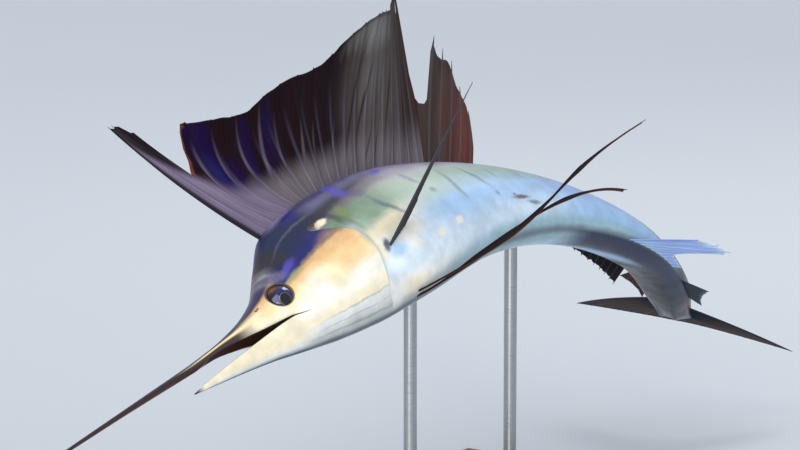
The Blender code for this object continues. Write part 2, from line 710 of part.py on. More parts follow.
def build_pelvics(parts, core):
    """Long narrow blades of three rays, both trailing back and to the fish's left."""
    shapes = {"left": (-0.022, (0.546, -0.243, -0.061), (0.022, -0.020, -0.018), 2.44),
              "right": (-0.010, (0.499, -0.129, -0.115), (0.021, -0.018, 0.026), -0.97)}
    widths = ((0.0, 0.0028), (0.12, 0.0032), (0.27, 0.0112), (0.42, 0.0084), (0.53, 0.0030), (0.61, 0.0050),
              (0.72, 0.0090), (0.82, 0.0052), (1.0, 0.0012))
    last = 2
    station = 0.500

    def rays(word):
        y, reach, bow, skew = shapes[word]
        z = -along(BELLY, station) * (1 - (abs(y) / along(FLANK, station)) ** BELLY_POWER) ** (1 / BELLY_POWER)
        wide = direction(station, 0.11, 0.0, 1.0)

        def ray_at(q):
            chord = direction(station, *reach) * (1 - 0.02 * abs(q - 1))
            return Ray(place(station, y, z), chord, direction(station, *bow),
                       direction(station, -0.6, 0.3, 0.7) * 0.020, skew, wide * ((q - 1) / 2), widths)
        return ray_at

    def edge(q):
        return 1.0 if abs(q - round(q)) < 1e-6 else 0.985

    for word in shapes:
        build_fin("pelvic_fin_" + word, rays(word), 0, last, edge, 16, "fin", parts, core, thick=0.0038,
                  tip=0.0014, membrane=0.0024)


def build_caudal(parts, core):
    """A deep crescent: two swept lobes that meet at the fork."""
    last = 8
    tip_s, tip_z, fork_s = 1.970, 0.246, 1.865
    root_s, root_z = 1.722, 0.038
    sway = {1: 0.007, -1: -0.030}

    def rays(side_up):
        def ray_at(q):
            t = q / last
            along_edge = min(t / 0.45, 1.0)
            down_end = max((t - 0.45) / 0.55, 0.0)
            z0 = (root_z + 0.002 * along_edge) * (1 - down_end) + GAP / 2
            s0 = root_s + (BODY_END - 0.010 - root_s) * along_edge
            z = tip_z * (1 - t) ** 1.15 + GAP / 2
            s = fork_s + (tip_s - fork_s) * (z / tip_z) ** 1.25
            root, end = place(s0, 0, side_up * z0), place(s, sway[side_up] * (1 - t), side_up * z)
            bow = direction(SPINE_END, -0.7, 0, side_up * 0.7) * 0.012 * (1 - t) ** 1.5
            inward = direction(SPINE_END, -0.5 - 0.5 * t, 0, side_up * -0.7 * (1 - down_end)) * 0.014
            return Ray(root, end - root, bow, inward)
        return ray_at

    def edge(q):
        return 1.0 if abs(q - round(q)) < 1e-6 else 0.985

    for side_up, word in ((1, "upper"), (-1, "lower")):
        build_fin("caudal_fin_" + word, rays(side_up), 0, last, edge, 5, "fin", parts, core, thick=0.0070,
                  tip=0.0016, membrane=0.0020)


# Stand

def build_stand(parts, core):
    bpy.ops.mesh.primitive_cube_add(size=1.0)
    base = bpy.context.object
    base.name = "stand_base"
    base.data.transform(Matrix.Translation((0, 0, BASE_THICK / 2)) @ Matrix.Rotation(BASE_TURN, 4, "Z")
                        @ Matrix.Diagonal((BASE_LENGTH, BASE_WIDTH, BASE_THICK, 1.0)))
    base.data.materials.append(material("stand_base_finish", *FINISHES["wood"]))
    move_to(base, parts)
    bevel = base.modifiers.new("soft_edges", "BEVEL")
    bevel.width = BASE_EDGE
    bevel.segments = 2
    for word, s in ROD_STATIONS.items():
        spot = place(s, 0, 0)
        foot = BASE_THICK + GAP
        profile = ((0.0, foot), (ROD_FOOT_RADIUS, foot), (ROD_FOOT_RADIUS, foot + ROD_FOOT_THICK * 0.7),
                   (ROD_FOOT_RADIUS * 0.9, foot + ROD_FOOT_THICK), (ROD_RADIUS, foot + ROD_FOOT_THICK),
                   (ROD_RADIUS, spot.z), (0.0, spot.z))
        bm = bmesh.new()
        corners = [bm.verts.new((r, 0, z)) for r, z in profile]
        edges = [bm.edges.new(pair) for pair in zip(corners, corners[1:])]
        bmesh.ops.spin(bm, geom=corners + edges, cent=(0, 0, 0), axis=(0, 0, 1), angle=2 * math.pi, steps=20,
                       use_merge=True)
        bmesh.ops.remove_doubles(bm, verts=bm.verts, dist=0.00001)
        bmesh.ops.recalc_face_normals(bm, faces=bm.faces)
        bmesh.ops.translate(bm, verts=bm.verts, vec=(spot.x, spot.y, 0))
        name = "stand_rod_" + word
        rod = make_object(name, mesh_from(bm, name), "steel", parts)
        boolean(rod, "DIFFERENCE", core)
        apply_modifiers(rod)


def main():
    for item in list(bpy.data.objects):
        bpy.data.objects.remove(item)
    parts = make_collection("sailfish")
    cutters = make_collection("cutters")
    core = build_core(cutters)
    build_bill(parts)
    build_head(parts, cutters)
    build_lower_jaw(parts)
    build_eyes(parts)
    build_trunk("body_front", HEAD_END, FRONT_END, "body", parts)
    build_trunk("body_middle", FRONT_END, MIDDLE_END, "body", parts)
    build_trunk("body_rear", MIDDLE_END, REAR_END, "body", parts)
    build_trunk("tail_stock", REAR_END, BODY_END + GAP / 2, "tail", parts)
    build_sail(parts, core)
    build_dorsal_and_anal(parts, core)
    build_pectorals(parts, core)
    build_pelvics(parts, core)
    build_caudal(parts, core)
    build_stand(parts, core)


main()
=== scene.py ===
"""The looks of a life-size sailfish model: skin, fins, eyes, stand, studio and camera.

The fish is drawn straight, as its solids are: s runs from the tip of the closed lower jaw to
the tail, y to the fish's right and z towards its back, in metres. The spine then bends it.
"""
import math

import bmesh
import bpy
import numpy as np
from mathutils import Matrix, Vector, noise


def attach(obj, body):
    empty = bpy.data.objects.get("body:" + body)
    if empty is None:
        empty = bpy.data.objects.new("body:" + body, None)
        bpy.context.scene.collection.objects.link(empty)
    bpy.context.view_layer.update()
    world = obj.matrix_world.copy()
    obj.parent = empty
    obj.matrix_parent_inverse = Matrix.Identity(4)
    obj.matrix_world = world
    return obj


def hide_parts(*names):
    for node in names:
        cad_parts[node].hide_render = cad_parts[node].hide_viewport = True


bl_info = {
    "name": "Leaping Sailfish",
    "version": (1, 0, 0),
    "blender": (4, 5, 0),
    "location": "View3D > Sidebar > Sailfish",
    "description": "Dresses the solids of a leaping sailfish with skin, fins, eyes and a studio",
    "category": "Add Mesh",
}

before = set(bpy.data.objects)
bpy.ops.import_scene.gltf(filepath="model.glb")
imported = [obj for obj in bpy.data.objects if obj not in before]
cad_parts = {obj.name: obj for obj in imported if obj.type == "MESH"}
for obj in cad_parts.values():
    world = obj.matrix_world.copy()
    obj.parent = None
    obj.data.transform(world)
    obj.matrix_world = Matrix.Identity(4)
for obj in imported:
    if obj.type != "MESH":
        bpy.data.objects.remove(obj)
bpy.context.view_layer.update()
GAP = 0.0003                # between the two lobes of the tail fin

# The leap: neck, head and spine
NECK_STATION = 0.42
NECK_PLACE = (-0.213, -0.300, 0.550)
HEAD_HEADING = math.radians(-130.0)
HEAD_PITCH = math.radians(-18.5)
HEAD_ROLL = math.radians(-47.0)
SPINE_END = 1.80
SPINE_STEP = 0.01
SIDE_BEND = ((0.42, 75), (0.75, 25), (1.10, 45), (1.45, 60), (1.80, -70))      # degrees a metre
BACK_BEND = ((0.42, -20), (0.75, 50), (1.10, 40), (1.45, -85), (1.80, -30))
TWIST = ((0.42, -35), (0.75, -45), (1.10, -30), (1.45, -25), (1.80, -15))

# Outline of the body: the height of its back, the depth of its belly and its half width
BACK = ((0.0, 0.0234), (0.06, 0.0245), (0.13, 0.0315), (0.20, 0.051), (0.266, 0.098), (0.333, 0.144),
        (0.385, 0.156), (0.455, 0.161), (0.60, 0.159), (0.80, 0.142), (1.00, 0.122), (1.19, 0.102),
        (1.35, 0.085), (1.50, 0.066), (1.62, 0.056), (1.72, 0.043), (1.755, 0.040), (1.785, 0.040))
BELLY = ((0.27, 0.094), (0.306, 0.103), (0.385, 0.118), (0.455, 0.128), (0.60, 0.137), (0.80, 0.127),
         (1.00, 0.116), (1.19, 0.102), (1.35, 0.085), (1.50, 0.066), (1.62, 0.056), (1.72, 0.043),
         (1.755, 0.040), (1.785, 0.040))
FLANK = ((0.0, 0.0095), (0.06, 0.0152), (0.13, 0.0260), (0.20, 0.042), (0.266, 0.055), (0.333, 0.066),
         (0.385, 0.073), (0.455, 0.079), (0.60, 0.0825), (0.80, 0.075), (1.00, 0.0675), (1.19, 0.0585),
         (1.35, 0.0505), (1.50, 0.0405), (1.62, 0.038), (1.72, 0.030), (1.755, 0.022), (1.785, 0.007))
WIDEST = ((0.0, 0.0152), (0.06, 0.0150), (0.13, 0.0100), (0.20, 0.000), (0.30, 0.000))
CREST_POWER = ((0.0, 2.0), (0.13, 2.0), (0.28, 1.75), (0.42, 1.75), (0.60, 2.0))
PALATE_POWER = ((0.0, 2.0), (0.10, 2.6), (0.20, 4.0), (0.27, 5.0))
BELLY_POWER = 2.1
BODY_END = 1.785

# Bill and mouth
BILL_TIP = -0.44
BILL_HEIGHT = ((BILL_TIP, 0.0012), (-0.33, 0.0031), (-0.18, 0.0050), (0.0, 0.0082))
BILL_WIDTH = ((BILL_TIP, 0.0014), (-0.33, 0.0037), (-0.18, 0.0056), (0.0, 0.0095))
BILL_AXIS = ((BILL_TIP, 0.0294), (-0.18, 0.0218), (0.0, 0.0152))
UPPER_LIP = ((0.0, 0.0070), (0.06, 0.0060), (0.12, -0.0040), (0.17, -0.0150), (0.214, -0.0250),
             (0.274, -0.0400))
JAW_TIP = -0.035
MOUTH_END = 0.274
JAW_TOP = ((JAW_TIP, -0.0255), (0.083, -0.0220), (0.17, -0.0235), (0.214, -0.0258), (MOUTH_END, -0.0400))
JAW_BOTTOM = ((JAW_TIP, -0.0275), (0.049, -0.0430), (0.152, -0.0640), (0.234, -0.0860),
              (MOUTH_END, -0.0945))
JAW_WIDTH = ((JAW_TIP, 0.0015), (0.0, 0.0080), (0.08, 0.0180), (0.152, 0.0300), (0.214, 0.0415),
             (MOUTH_END, 0.0515))
PALATE_RISE = ((0.0, 0.0), (0.05, 0.004), (0.14, 0.010), (0.20, 0.008), (0.25, 0.003), (MOUTH_END, 0.0))
MOUTH_FLOOR = ((JAW_TIP, 0.0), (0.02, 0.005), (0.12, 0.013), (0.20, 0.010), (0.25, 0.003), (MOUTH_END, 0.0))
LIP_SWELL = 0.0016
LIP_REAR_ANGLE = -18.0      # where the mouth's line runs on along the flank, in degrees
LIP_FADE = 0.17
JAW_POWER = 1.7

# Gill cover, and the corners of the keels on the tail stock
GILL_LINE = ((-90, 0.430), (-56, 0.430), (-40, 0.436), (-28, 0.442), (-18, 0.450), (-8, 0.456), (2, 0.457),
             (12, 0.4515), (22, 0.4325), (32, 0.399), (42, 0.354), (52, 0.300))
GILL_TOP = 0.44             # where the edge would meet the crest
GILL_START = 0.275
GILL_REAR = 0.475
GILL_RISE = 0.0032
GILL_DROP = 0.0020
KEEL_START = 1.63
KEEL_PEAK = 1.73
KEEL_RISE = 0.0050
KEEL_ANGLE = 22.5

# Eyes and nostrils
EYE_STATION = 0.235
EYE_HEIGHT = 0.020
EYE_RADIUS = 0.0245
EYE_DEPTH = 0.0140
EYE_SUNK = 0.0060
EYE_RIM = 0.0022
BROW_RISE = 0.0016
SOCKET_DEPTH = 0.0125
NOSTRIL_DEPTH = 0.0040
NOSTRILS = ((0.190, 0.0270), (0.181, 0.0255))

# Rays of the midline fins: number, backward lean and bow in degrees, length, lean to the left in degrees
SAIL_START = 0.335
SAIL_PITCH = 0.0265
SAIL_SHAPE = ((0, -11, 17, 0.357, 0), (2, -20, 10, 0.345, 3), (3, -5, 85, 0.255, 5), (4, 2, 92, 0.230, 6),
              (5, 8, 76, 0.215, 8), (6, 13, 55, 0.210, 10), (8.5, 31, 18, 0.257, 14),
              (9.5, 36, 17, 0.268, 15), (10.5, 41, 17, 0.292, 15), (11.2, 45, 16, 0.329, 16),
              (12, 49, 16, 0.386, 16), (14, 51, 12, 0.465, 16), (17, 45, -1, 0.500, 16),
              (20, 37.7, 0, 0.640, 16))
SAIL_REAR_SHAPE = ((20.50, 37.7, 0, 0.640, 16), (20.78, 43.5, 3, 0.490, 16), (21, 44.5, 4, 0.490, 16),
                   (23, 43, -2, 0.440, 16), (25, 41, -8, 0.280, 16))
SAIL_LOW_SHAPE = ((25, 45, 0, 0.120, 12), (27, 50, 0, 0.090, -15), (31, 50, 0, 0.080, -45),
                  (38, 42, 0, 0.062, -66), (45, 38, 0, 0.060, -68))
ANAL_START = 1.275
ANAL_PITCH = 0.021
ANAL_SHAPE = ((0, 48, 0, 0.140, 22), (1, 50, 0, 0.174, 20.5), (2, 52, 0, 0.191, 18), (3, 54, 0, 0.167, 18),
              (4, 56, 0, 0.095, 19.5), (5, 58, 0, 0.045, 20), (6, 60, 0, 0.030, 20), (9, 64, 0, 0.022, 18))
SMALL_DORSAL_START = 1.575
SMALL_ANAL_START = 1.550
SMALL_PITCH = 0.018
SMALL_DORSAL_SHAPE = ((0, 42, 0, 0.062, -8), (2, 52, 0, 0.045, -8), (4, 62, 0, 0.040, -8),
                      (5, 72, 0, 0.055, -8))
SMALL_ANAL_SHAPE = tuple((q, lean, bow, size, 8) for q, lean, bow, size, _ in SMALL_DORSAL_SHAPE)


# Smooth curves through named points

def curve(table, s):
    """A smooth curve through the table's points, level outside them; s is an array."""
    x = np.array([row[0] for row in table], float)
    v = np.array([row[1] for row in table], float)
    step = np.diff(v) / np.diff(x)
    slope = np.empty(len(x))
    slope[0], slope[-1] = step[0], step[-1]
    product = step[:-1] * step[1:]
    total = np.where(product > 0, step[:-1] + step[1:], 1.0)
    slope[1:-1] = np.where(product > 0, 2 * product / total, 0.0)
    s = np.clip(np.asarray(s, float), x[0], x[-1])
    i = np.clip(np.searchsorted(x, s, side="left") - 1, 0, len(x) - 2)
    h = x[i + 1] - x[i]
    t = (s - x[i]) / h
    return (v[i] * (1 + 2 * t) * (1 - t) ** 2 + slope[i] * h * t * (1 - t) ** 2
            + v[i + 1] * t * t * (3 - 2 * t) - slope[i + 1] * h * t * t * (1 - t))


def straight(table, s, column=1):
    """Straight runs between the table's points."""
    return np.interp(s, [row[0] for row in table], [row[column] for row in table])


def ease(t):
    """A smooth step from 0 to 1."""
    t = np.clip(t, 0.0, 1.0)
    return t * t * (3 - 2 * t)


def turn_about(vector):
    """The turn by a vector's length in radians about its own line, as a 3 by 3 array."""
    angle = np.linalg.norm(vector)
    x, y, z = vector / angle
    cross = np.array(((0, -z, y), (z, 0, -x), (-y, x, 0)))
    return np.eye(3) + math.sin(angle) * cross + (1 - math.cos(angle)) * cross @ cross


def bend_spine():
    """Stations, centres and frames along the spine. A frame's columns run tailwards, right and backwards."""
    nose = np.array((math.cos(HEAD_PITCH) * math.cos(HEAD_HEADING),
                     math.cos(HEAD_PITCH) * math.sin(HEAD_HEADING), math.sin(HEAD_PITCH)))
    side = np.cross((0, 0, 1), nose)
    side /= np.linalg.norm(side)
    back = np.cross(nose, side) * math.cos(HEAD_ROLL) + side * math.sin(HEAD_ROLL)
    turn = np.stack((-nose, np.cross(back, -nose), back), axis=1)
    centre = np.array(NECK_PLACE)
    stations, centres, turns = [NECK_STATION], [centre], [turn]
    for k in range(round((SPINE_END - NECK_STATION) / SPINE_STEP)):
        s = NECK_STATION + (k + 0.5) * SPINE_STEP
        rates = np.array((straight(TWIST, s), straight(BACK_BEND, s), straight(SIDE_BEND, s)))
        after = turn @ turn_about(np.radians(rates) * SPINE_STEP)
        centre = centre + (turn[:, 0] + after[:, 0]) * (SPINE_STEP / 2)
        turn = after
        stations.append(s + SPINE_STEP / 2)
        centres.append(centre)
        turns.append(turn)
    return np.array(stations), np.array(centres), np.array(turns)


STATIONS, CENTRES, TURNS = bend_spine()


def frames_at(s):
    """Centres and frames of the body at an array of stations, straight past both ends of the bend."""
    s = np.atleast_1d(np.asarray(s, float))
    inside = np.clip(s, STATIONS[0], STATIONS[-1])
    centres = np.stack([np.interp(inside, STATIONS, CENTRES[:, k]) for k in range(3)], axis=1)
    turns = np.empty((len(s), 3, 3))
    for a in range(3):
        for b in range(3):
            turns[:, a, b] = np.interp(inside, STATIONS, TURNS[:, a, b])
    return centres + turns[:, :, 0] * (s - inside)[:, None], turns


def place(points):
    """Straight-fish points, as rows of s, y and z, moved to the pose of the leap."""
    centres, turns = frames_at(points[:, 0])
    return centres + turns[:, :, 1] * points[:, 1:2] + turns[:, :, 2] * points[:, 2:3]


def direction(s, tailwards, right, back):
    """A direction in the straight fish at one station, turned to the pose of the leap."""
    turn = frames_at(s)[1][0]
    return turn @ np.array((tailwards, right, back))


# Sections of the body

def signed_power(value, power):
    return np.sign(value) * np.abs(value) ** power


def body_section(s, angle, belly=BELLY):
    """Half width and height of the body's skin, at an angle in degrees up from the flank's middle."""
    c, w = np.cos(np.radians(angle)), np.sin(np.radians(angle))
    middle = curve(WIDEST, s)
    up = angle >= 0
    power = np.where(up, curve(CREST_POWER, s), BELLY_POWER)
    tall = np.where(up, curve(BACK, s) - middle, curve(belly, s) + middle)
    y = np.abs(c) ** (2 / power) * curve(FLANK, s)
    z = middle + signed_power(w, 2 / power) * tall
    rise = ease((s - KEEL_START) / (KEEL_PEAK - KEEL_START))
    fall = 1 - ease((s - KEEL_PEAK) / (BODY_END - KEEL_PEAK))
    near = np.exp(-((np.abs(angle) - KEEL_ANGLE) / 7.0) ** 2)
    return y + KEEL_RISE * rise * fall * near, z


def upper_section(s, angle):
    """The upper jaw and bill, from the crest at 90 degrees down to the lip at -45."""
    c, w = np.cos(np.radians(angle)), np.sin(np.radians(angle))
    head = s >= 0
    middle = np.where(head, curve(WIDEST, s), curve(BILL_AXIS, s))
    half = np.where(head, curve(FLANK, s), curve(BILL_WIDTH, s))
    up = angle >= 0
    power = np.where(head, np.where(up, curve(CREST_POWER, s), curve(PALATE_POWER, s)), 2.0)
    tall = np.where(up, curve(BACK, s) - middle, middle - curve(UPPER_LIP, s))
    tall = np.where(head, tall, curve(BILL_HEIGHT, s))
    towards_lip = np.sin(np.radians(np.clip(-angle, 0, 45)) * 2) ** 2
    swell = np.where(up, 0.0, LIP_SWELL * ease(s / 0.08)) * towards_lip
    return np.abs(c) ** (2 / power) * half + swell, middle + signed_power(w, 2 / power) * tall


def lower_section(s, angle):
    """The lower jaw, from its lip at 0 degrees down to the chin at -90."""
    c, w = np.cos(np.radians(angle)), np.sin(np.radians(-angle))
    top, low = curve(JAW_TOP, s), curve(JAW_BOTTOM, s)
    power = 2 / JAW_POWER
    return np.abs(c) ** power * curve(JAW_WIDTH, s), top + (low - top) * np.abs(w) ** power


def gill_line(angle):
    """Station of the gill cover's rear edge: it curves forwards above and, more, below."""
    edge = straight(GILL_LINE, angle)
    return edge + (GILL_TOP - edge) * ease((angle - 32) / 20)


# Mesh helpers

def flat_grid(across, up):
    """A grid as a bmesh with a corner's column and row read from its place."""
    bm = bmesh.new()
    bmesh.ops.create_grid(bm, x_segments=across, y_segments=up, size=0.5)
    places = np.array([v.co[:2] for v in bm.verts]) + 0.5
    return bm, np.rint(places[:, 0] * across).astype(int), np.rint(places[:, 1] * up).astype(int)


def set_corners(bm, points):
    for corner, point in zip(bm.verts, points):
        corner.co = point


def add_field(mesh, name, values, kind="FLOAT_VECTOR"):
    """A named value at each corner, for the materials to read."""
    field = mesh.attributes.new(name, kind, "POINT")
    part = "vector" if kind == "FLOAT_VECTOR" else "value"
    field.data.foreach_set(part, np.ascontiguousarray(values, np.float32).ravel())


def corners_of(mesh):
    flat = np.empty(len(mesh.vertices) * 3, np.float32)
    mesh.vertices.foreach_get("co", flat)
    return flat.reshape(-1, 3).astype(float)


def normals_of(mesh):
    flat = np.empty(len(mesh.vertices) * 3, np.float32)
    mesh.vertices.foreach_get("normal", flat)
    return flat.reshape(-1, 3).astype(float)


def write_corners(mesh, points):
    mesh.vertices.foreach_set("co", np.ascontiguousarray(points, np.float32).ravel())
    mesh.update()


def finish_piece(name, mesh, slot, *nodes):
    """Makes a piece of a mesh, links it under the root and hides the solids it stands for. Its slot is not
    used.
    """
    piece = bpy.data.objects.new(name, mesh)
    bpy.context.scene.collection.objects.link(piece)
    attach(piece, "root")
    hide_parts(*nodes)
    return piece


# Skin

SIDE_STEPS = 65             # corners from the crest to the belly's middle, on each side
LIP_STEP = 39               # the corner that runs along the lip
MOUTH_STEPS = 24            # corners across the palate and across the floor of the mouth
JOIN_START = 0.225          # where the jaws start to join into one body
CHIN = ((0.200, 0.0776), (0.234, 0.0858))      # the belly's line carried on below the jaw
MERGE = 0.00002


def lip_angle(s):
    """Angle of the mouth line on the whole body's section, and of the same corner further back."""
    depth = -curve(UPPER_LIP, MOUTH_END) / curve(BELLY, MOUTH_END)
    at_mouth = -math.degrees(math.asin(depth ** (BELLY_POWER / 2)))
    return at_mouth + (LIP_REAR_ANGLE - at_mouth) * ease((s - MOUTH_END) / LIP_FADE)


def ring_angle(step, s):
    """Angle of a corner counted from the crest down one side."""
    lip = lip_angle(s)
    above = 90 - (90 - lip) * step / LIP_STEP
    below = lip - (90 + lip) * (step - LIP_STEP) / (SIDE_STEPS - LIP_STEP)
    return np.where(step <= LIP_STEP, above, below)


def spread(*runs):
    """Stations in runs of (start, end, spacing), each run's end being the next one's start."""
    stations = []
    for start, end, spacing in runs:
        stations += list(np.linspace(start, end, max(round((end - start) / spacing), 1), endpoint=False))
    return np.array(stations + [runs[-1][1]])


def trunk_shell():
    """The body from the back of the mouth to the tail, with the gill cover's raised edge."""
    edge = GILL_TOP
    columns = spread((MOUTH_END, 0.40, 0.0028), (0.40, edge - 0.003, 0.0018),
                     (edge - 0.003, edge + 0.003, 0.0005), (edge + 0.003, GILL_REAR, 0.0020),
                     (GILL_REAR, 0.60, 0.0045), (0.60, 1.60, 0.0065), (1.60, BODY_END, 0.0045))
    columns = np.append(columns, BODY_END)
    bm, column, row = flat_grid(len(columns) - 1, 2 * SIDE_STEPS)
    u = columns[column]
    step = np.abs(row - SIDE_STEPS)
    side = np.sign(row - SIDE_STEPS)
    angle = ring_angle(step, u)
    line = gill_line(angle)
    before = GILL_START + (u - GILL_START) * (line - GILL_START) / (edge - GILL_START)
    behind = line + (u - edge) * (GILL_REAR - line) / (GILL_REAR - edge)
    s = np.where(u <= GILL_START, u, np.where(u <= edge, before, np.where(u <= GILL_REAR, behind, u)))
    angle = ring_angle(step, s)
    y, z = body_section(s, angle)
    up = GILL_RISE * ease((u - 0.34) / (edge - 0.34))
    down = -GILL_DROP * (1 - ease((u - edge - 0.0025) / (GILL_REAR - 0.004 - edge)))
    fall = ease((u - edge + 0.0010) / 0.0030)
    lift = (up * (1 - fall) + down * fall) * (1 - ease((angle - 27) / 10)) * (u < GILL_REAR)
    lift *= ease((angle + 54) / 24)
    y = (y + lift * np.cos(np.radians(angle))) * side
    z = z + lift * np.sin(np.radians(angle)) * 0.6
    closed = column == len(columns) - 1
    set_corners(bm, np.stack((s, np.where(closed, 0.0, y), np.where(closed, 0.0, z)), axis=1))
    return bm


def jaw_shell(stations, section, lip, far, outer_steps, inner, tip_shut):
    """One jaw as a closed tube: its outside from lip to lip, then its inside back across the mouth."""
    around = 2 * outer_steps + MOUTH_STEPS
    bm, column, row = flat_grid(len(stations) - 1, around)
    s = stations[column]
    outside = row <= 2 * outer_steps
    share = np.clip(np.abs(row - outer_steps) / outer_steps, 0, 1)
    side = np.where(row < outer_steps, -1.0, 1.0)
    y, z = section(s, far + (lip - far) * share)
    join = ease((s - JOIN_START) / (MOUTH_END - JOIN_START))
    step = LIP_STEP * share if far > 0 else SIDE_STEPS - (SIDE_STEPS - LIP_STEP) * share
    whole = ring_angle(step, MOUTH_END)
    whole_y, whole_z = body_section(s, whole, CHIN + BELLY)
    y = (y + (whole_y - y) * join) * side
    z = z + (whole_z - z) * join
    lip_y, lip_z = section(s, np.full(len(s), float(lip)))
    lip_whole = body_section(s, np.full(len(s), float(lip_angle(MOUTH_END))))
    lip_y = lip_y + (lip_whole[0] - lip_y) * join
    lip_z = lip_z + (lip_whole[1] - lip_z) * join
    across = 1 - 2 * np.clip((row - 2 * outer_steps) / MOUTH_STEPS, 0, 1)
    inside_z = inner(s, across, lip_y, lip_z)
    y = np.where(outside, y, lip_y * across)
    z = np.where(outside, z, inside_z)
    shut = column == 0
    set_corners(bm, np.stack((s, np.where(shut, 0.0, y), np.where(shut, tip_shut, z)), axis=1))
    mouth, jaw = bm.verts.layers.float.new("mouth"), bm.verts.layers.float.new("jaw")
    for corner, within, edge in zip(bm.verts, ~outside & (row < around), share):
        corner[mouth] = float(within)
        corner[jaw] = 0.0 if far > 0 else 1.0 - 0.8 * float(edge)
    return bm


def palate(s, across, lip_y, lip_z):
    """Height of the roof of the mouth, which runs on as the bill's round underside."""
    half, middle = curve(FLANK, s), curve(WIDEST, s)
    bill = s < 0
    half = np.where(bill, curve(BILL_WIDTH, s), half)
    middle = np.where(bill, curve(BILL_AXIS, s), middle)
    tall = np.where(bill, curve(BILL_HEIGHT, s), middle - curve(UPPER_LIP, s))
    power = np.where(bill, 2.0, curve(PALATE_POWER, s))
    share = np.clip(np.abs(across * lip_y) / half, 0, 1)
    round_under = middle - tall * (1 - share ** power) ** (1 / power)
    hollow = lip_z + curve(PALATE_RISE, s) * (1 - across ** 2)
    return round_under + (hollow - round_under) * ease(s / 0.06)


def mouth_floor(s, across, lip_y, lip_z):
    """Height of the floor of the mouth."""
    return lip_z - curve(MOUTH_FLOOR, s) * (1 - np.abs(across) ** 3)


def eye_seat(side):
    """Centre of an eye in the straight fish, and its frame: two lines in the skin and the way out of it."""
    def skin(station, height):
        half, middle = curve(FLANK, station), curve(WIDEST, station)
        tall, power = curve(BACK, station) - middle, curve(CREST_POWER, station)
        y = side * half * (1 - ((height - middle) / tall) ** power) ** (1 / power)
        return np.array((station, float(y), height))
    reach = 0.004
    along_skin = skin(EYE_STATION + reach, EYE_HEIGHT) - skin(EYE_STATION - reach, EYE_HEIGHT)
    up_skin = skin(EYE_STATION, EYE_HEIGHT + reach) - skin(EYE_STATION, EYE_HEIGHT - reach)
    out = np.cross(along_skin, up_skin)
    out *= np.sign(out[1] * side) / np.linalg.norm(out)
    ahead = along_skin / np.linalg.norm(along_skin)
    return skin(EYE_STATION, EYE_HEIGHT) - out * EYE_SUNK, ahead, np.cross(out, ahead), out


def sink_eyes_and_nostrils(points):
    """Opens each socket behind its eye, raises the rim round it, and presses the nostrils in."""
    points = points.copy()
    for side in (-1, 1):
        centre, ahead, up, out = eye_seat(side)
        local = points - centre
        near = (points[:, 1] * side > 0.005) & (np.linalg.norm(local, axis=1) < 0.08)
        rho = np.hypot(local @ ahead, local @ up)
        rim = EYE_RIM * np.exp(-((rho - EYE_RADIUS - 0.0012) / 0.0026) ** 2)
        brow = BROW_RISE * np.exp(-((rho - EYE_RADIUS - 0.006) / 0.006) ** 2) * ease((local @ up) / 0.02)
        pit = -SOCKET_DEPTH * ease((EYE_RADIUS - 0.0006 - rho) / 0.0030)
        points += np.where(near, rim + brow + pit, 0.0)[:, None] * out
        for s, z in NOSTRILS:
            reach = np.hypot((points[:, 0] - s) / 0.0026, (points[:, 2] - z) / 0.0021)
            beside = (points[:, 1] * side > 0.01) & (reach < 4)
            pinch = -NOSTRIL_DEPTH * np.exp(-reach ** 2) + 0.0008 * np.exp(-((reach - 2) / 0.8) ** 2)
            points[:, 1] += np.where(beside, pinch * side, 0.0)
    return points


def chart_of(points):
    """Station, angle up the side in degrees, and how far behind the gill cover's edge, for the markings."""
    s, y, z = points.T
    head = s >= 0
    middle = np.where(head, curve(WIDEST, s), curve(BILL_AXIS, s))
    up = z >= middle
    tall = np.where(up, curve(BACK, s) - middle, curve(BELLY, s) + middle)
    tall = np.where(head, tall, curve(BILL_HEIGHT, s))
    half = np.where(head, curve(FLANK, s), curve(BILL_WIDTH, s))
    power = np.where(up, curve(CREST_POWER, s), BELLY_POWER)
    rise = np.abs((z - middle) / tall) ** (power / 2)
    width = np.abs(y / half) ** (power / 2)
    angle = np.degrees(np.arctan2(rise, np.maximum(width, 1e-6))) * np.where(up, 1, -1)
    return np.stack((s, angle, np.clip(s - gill_line(angle), -0.1, 0.1)), axis=1)


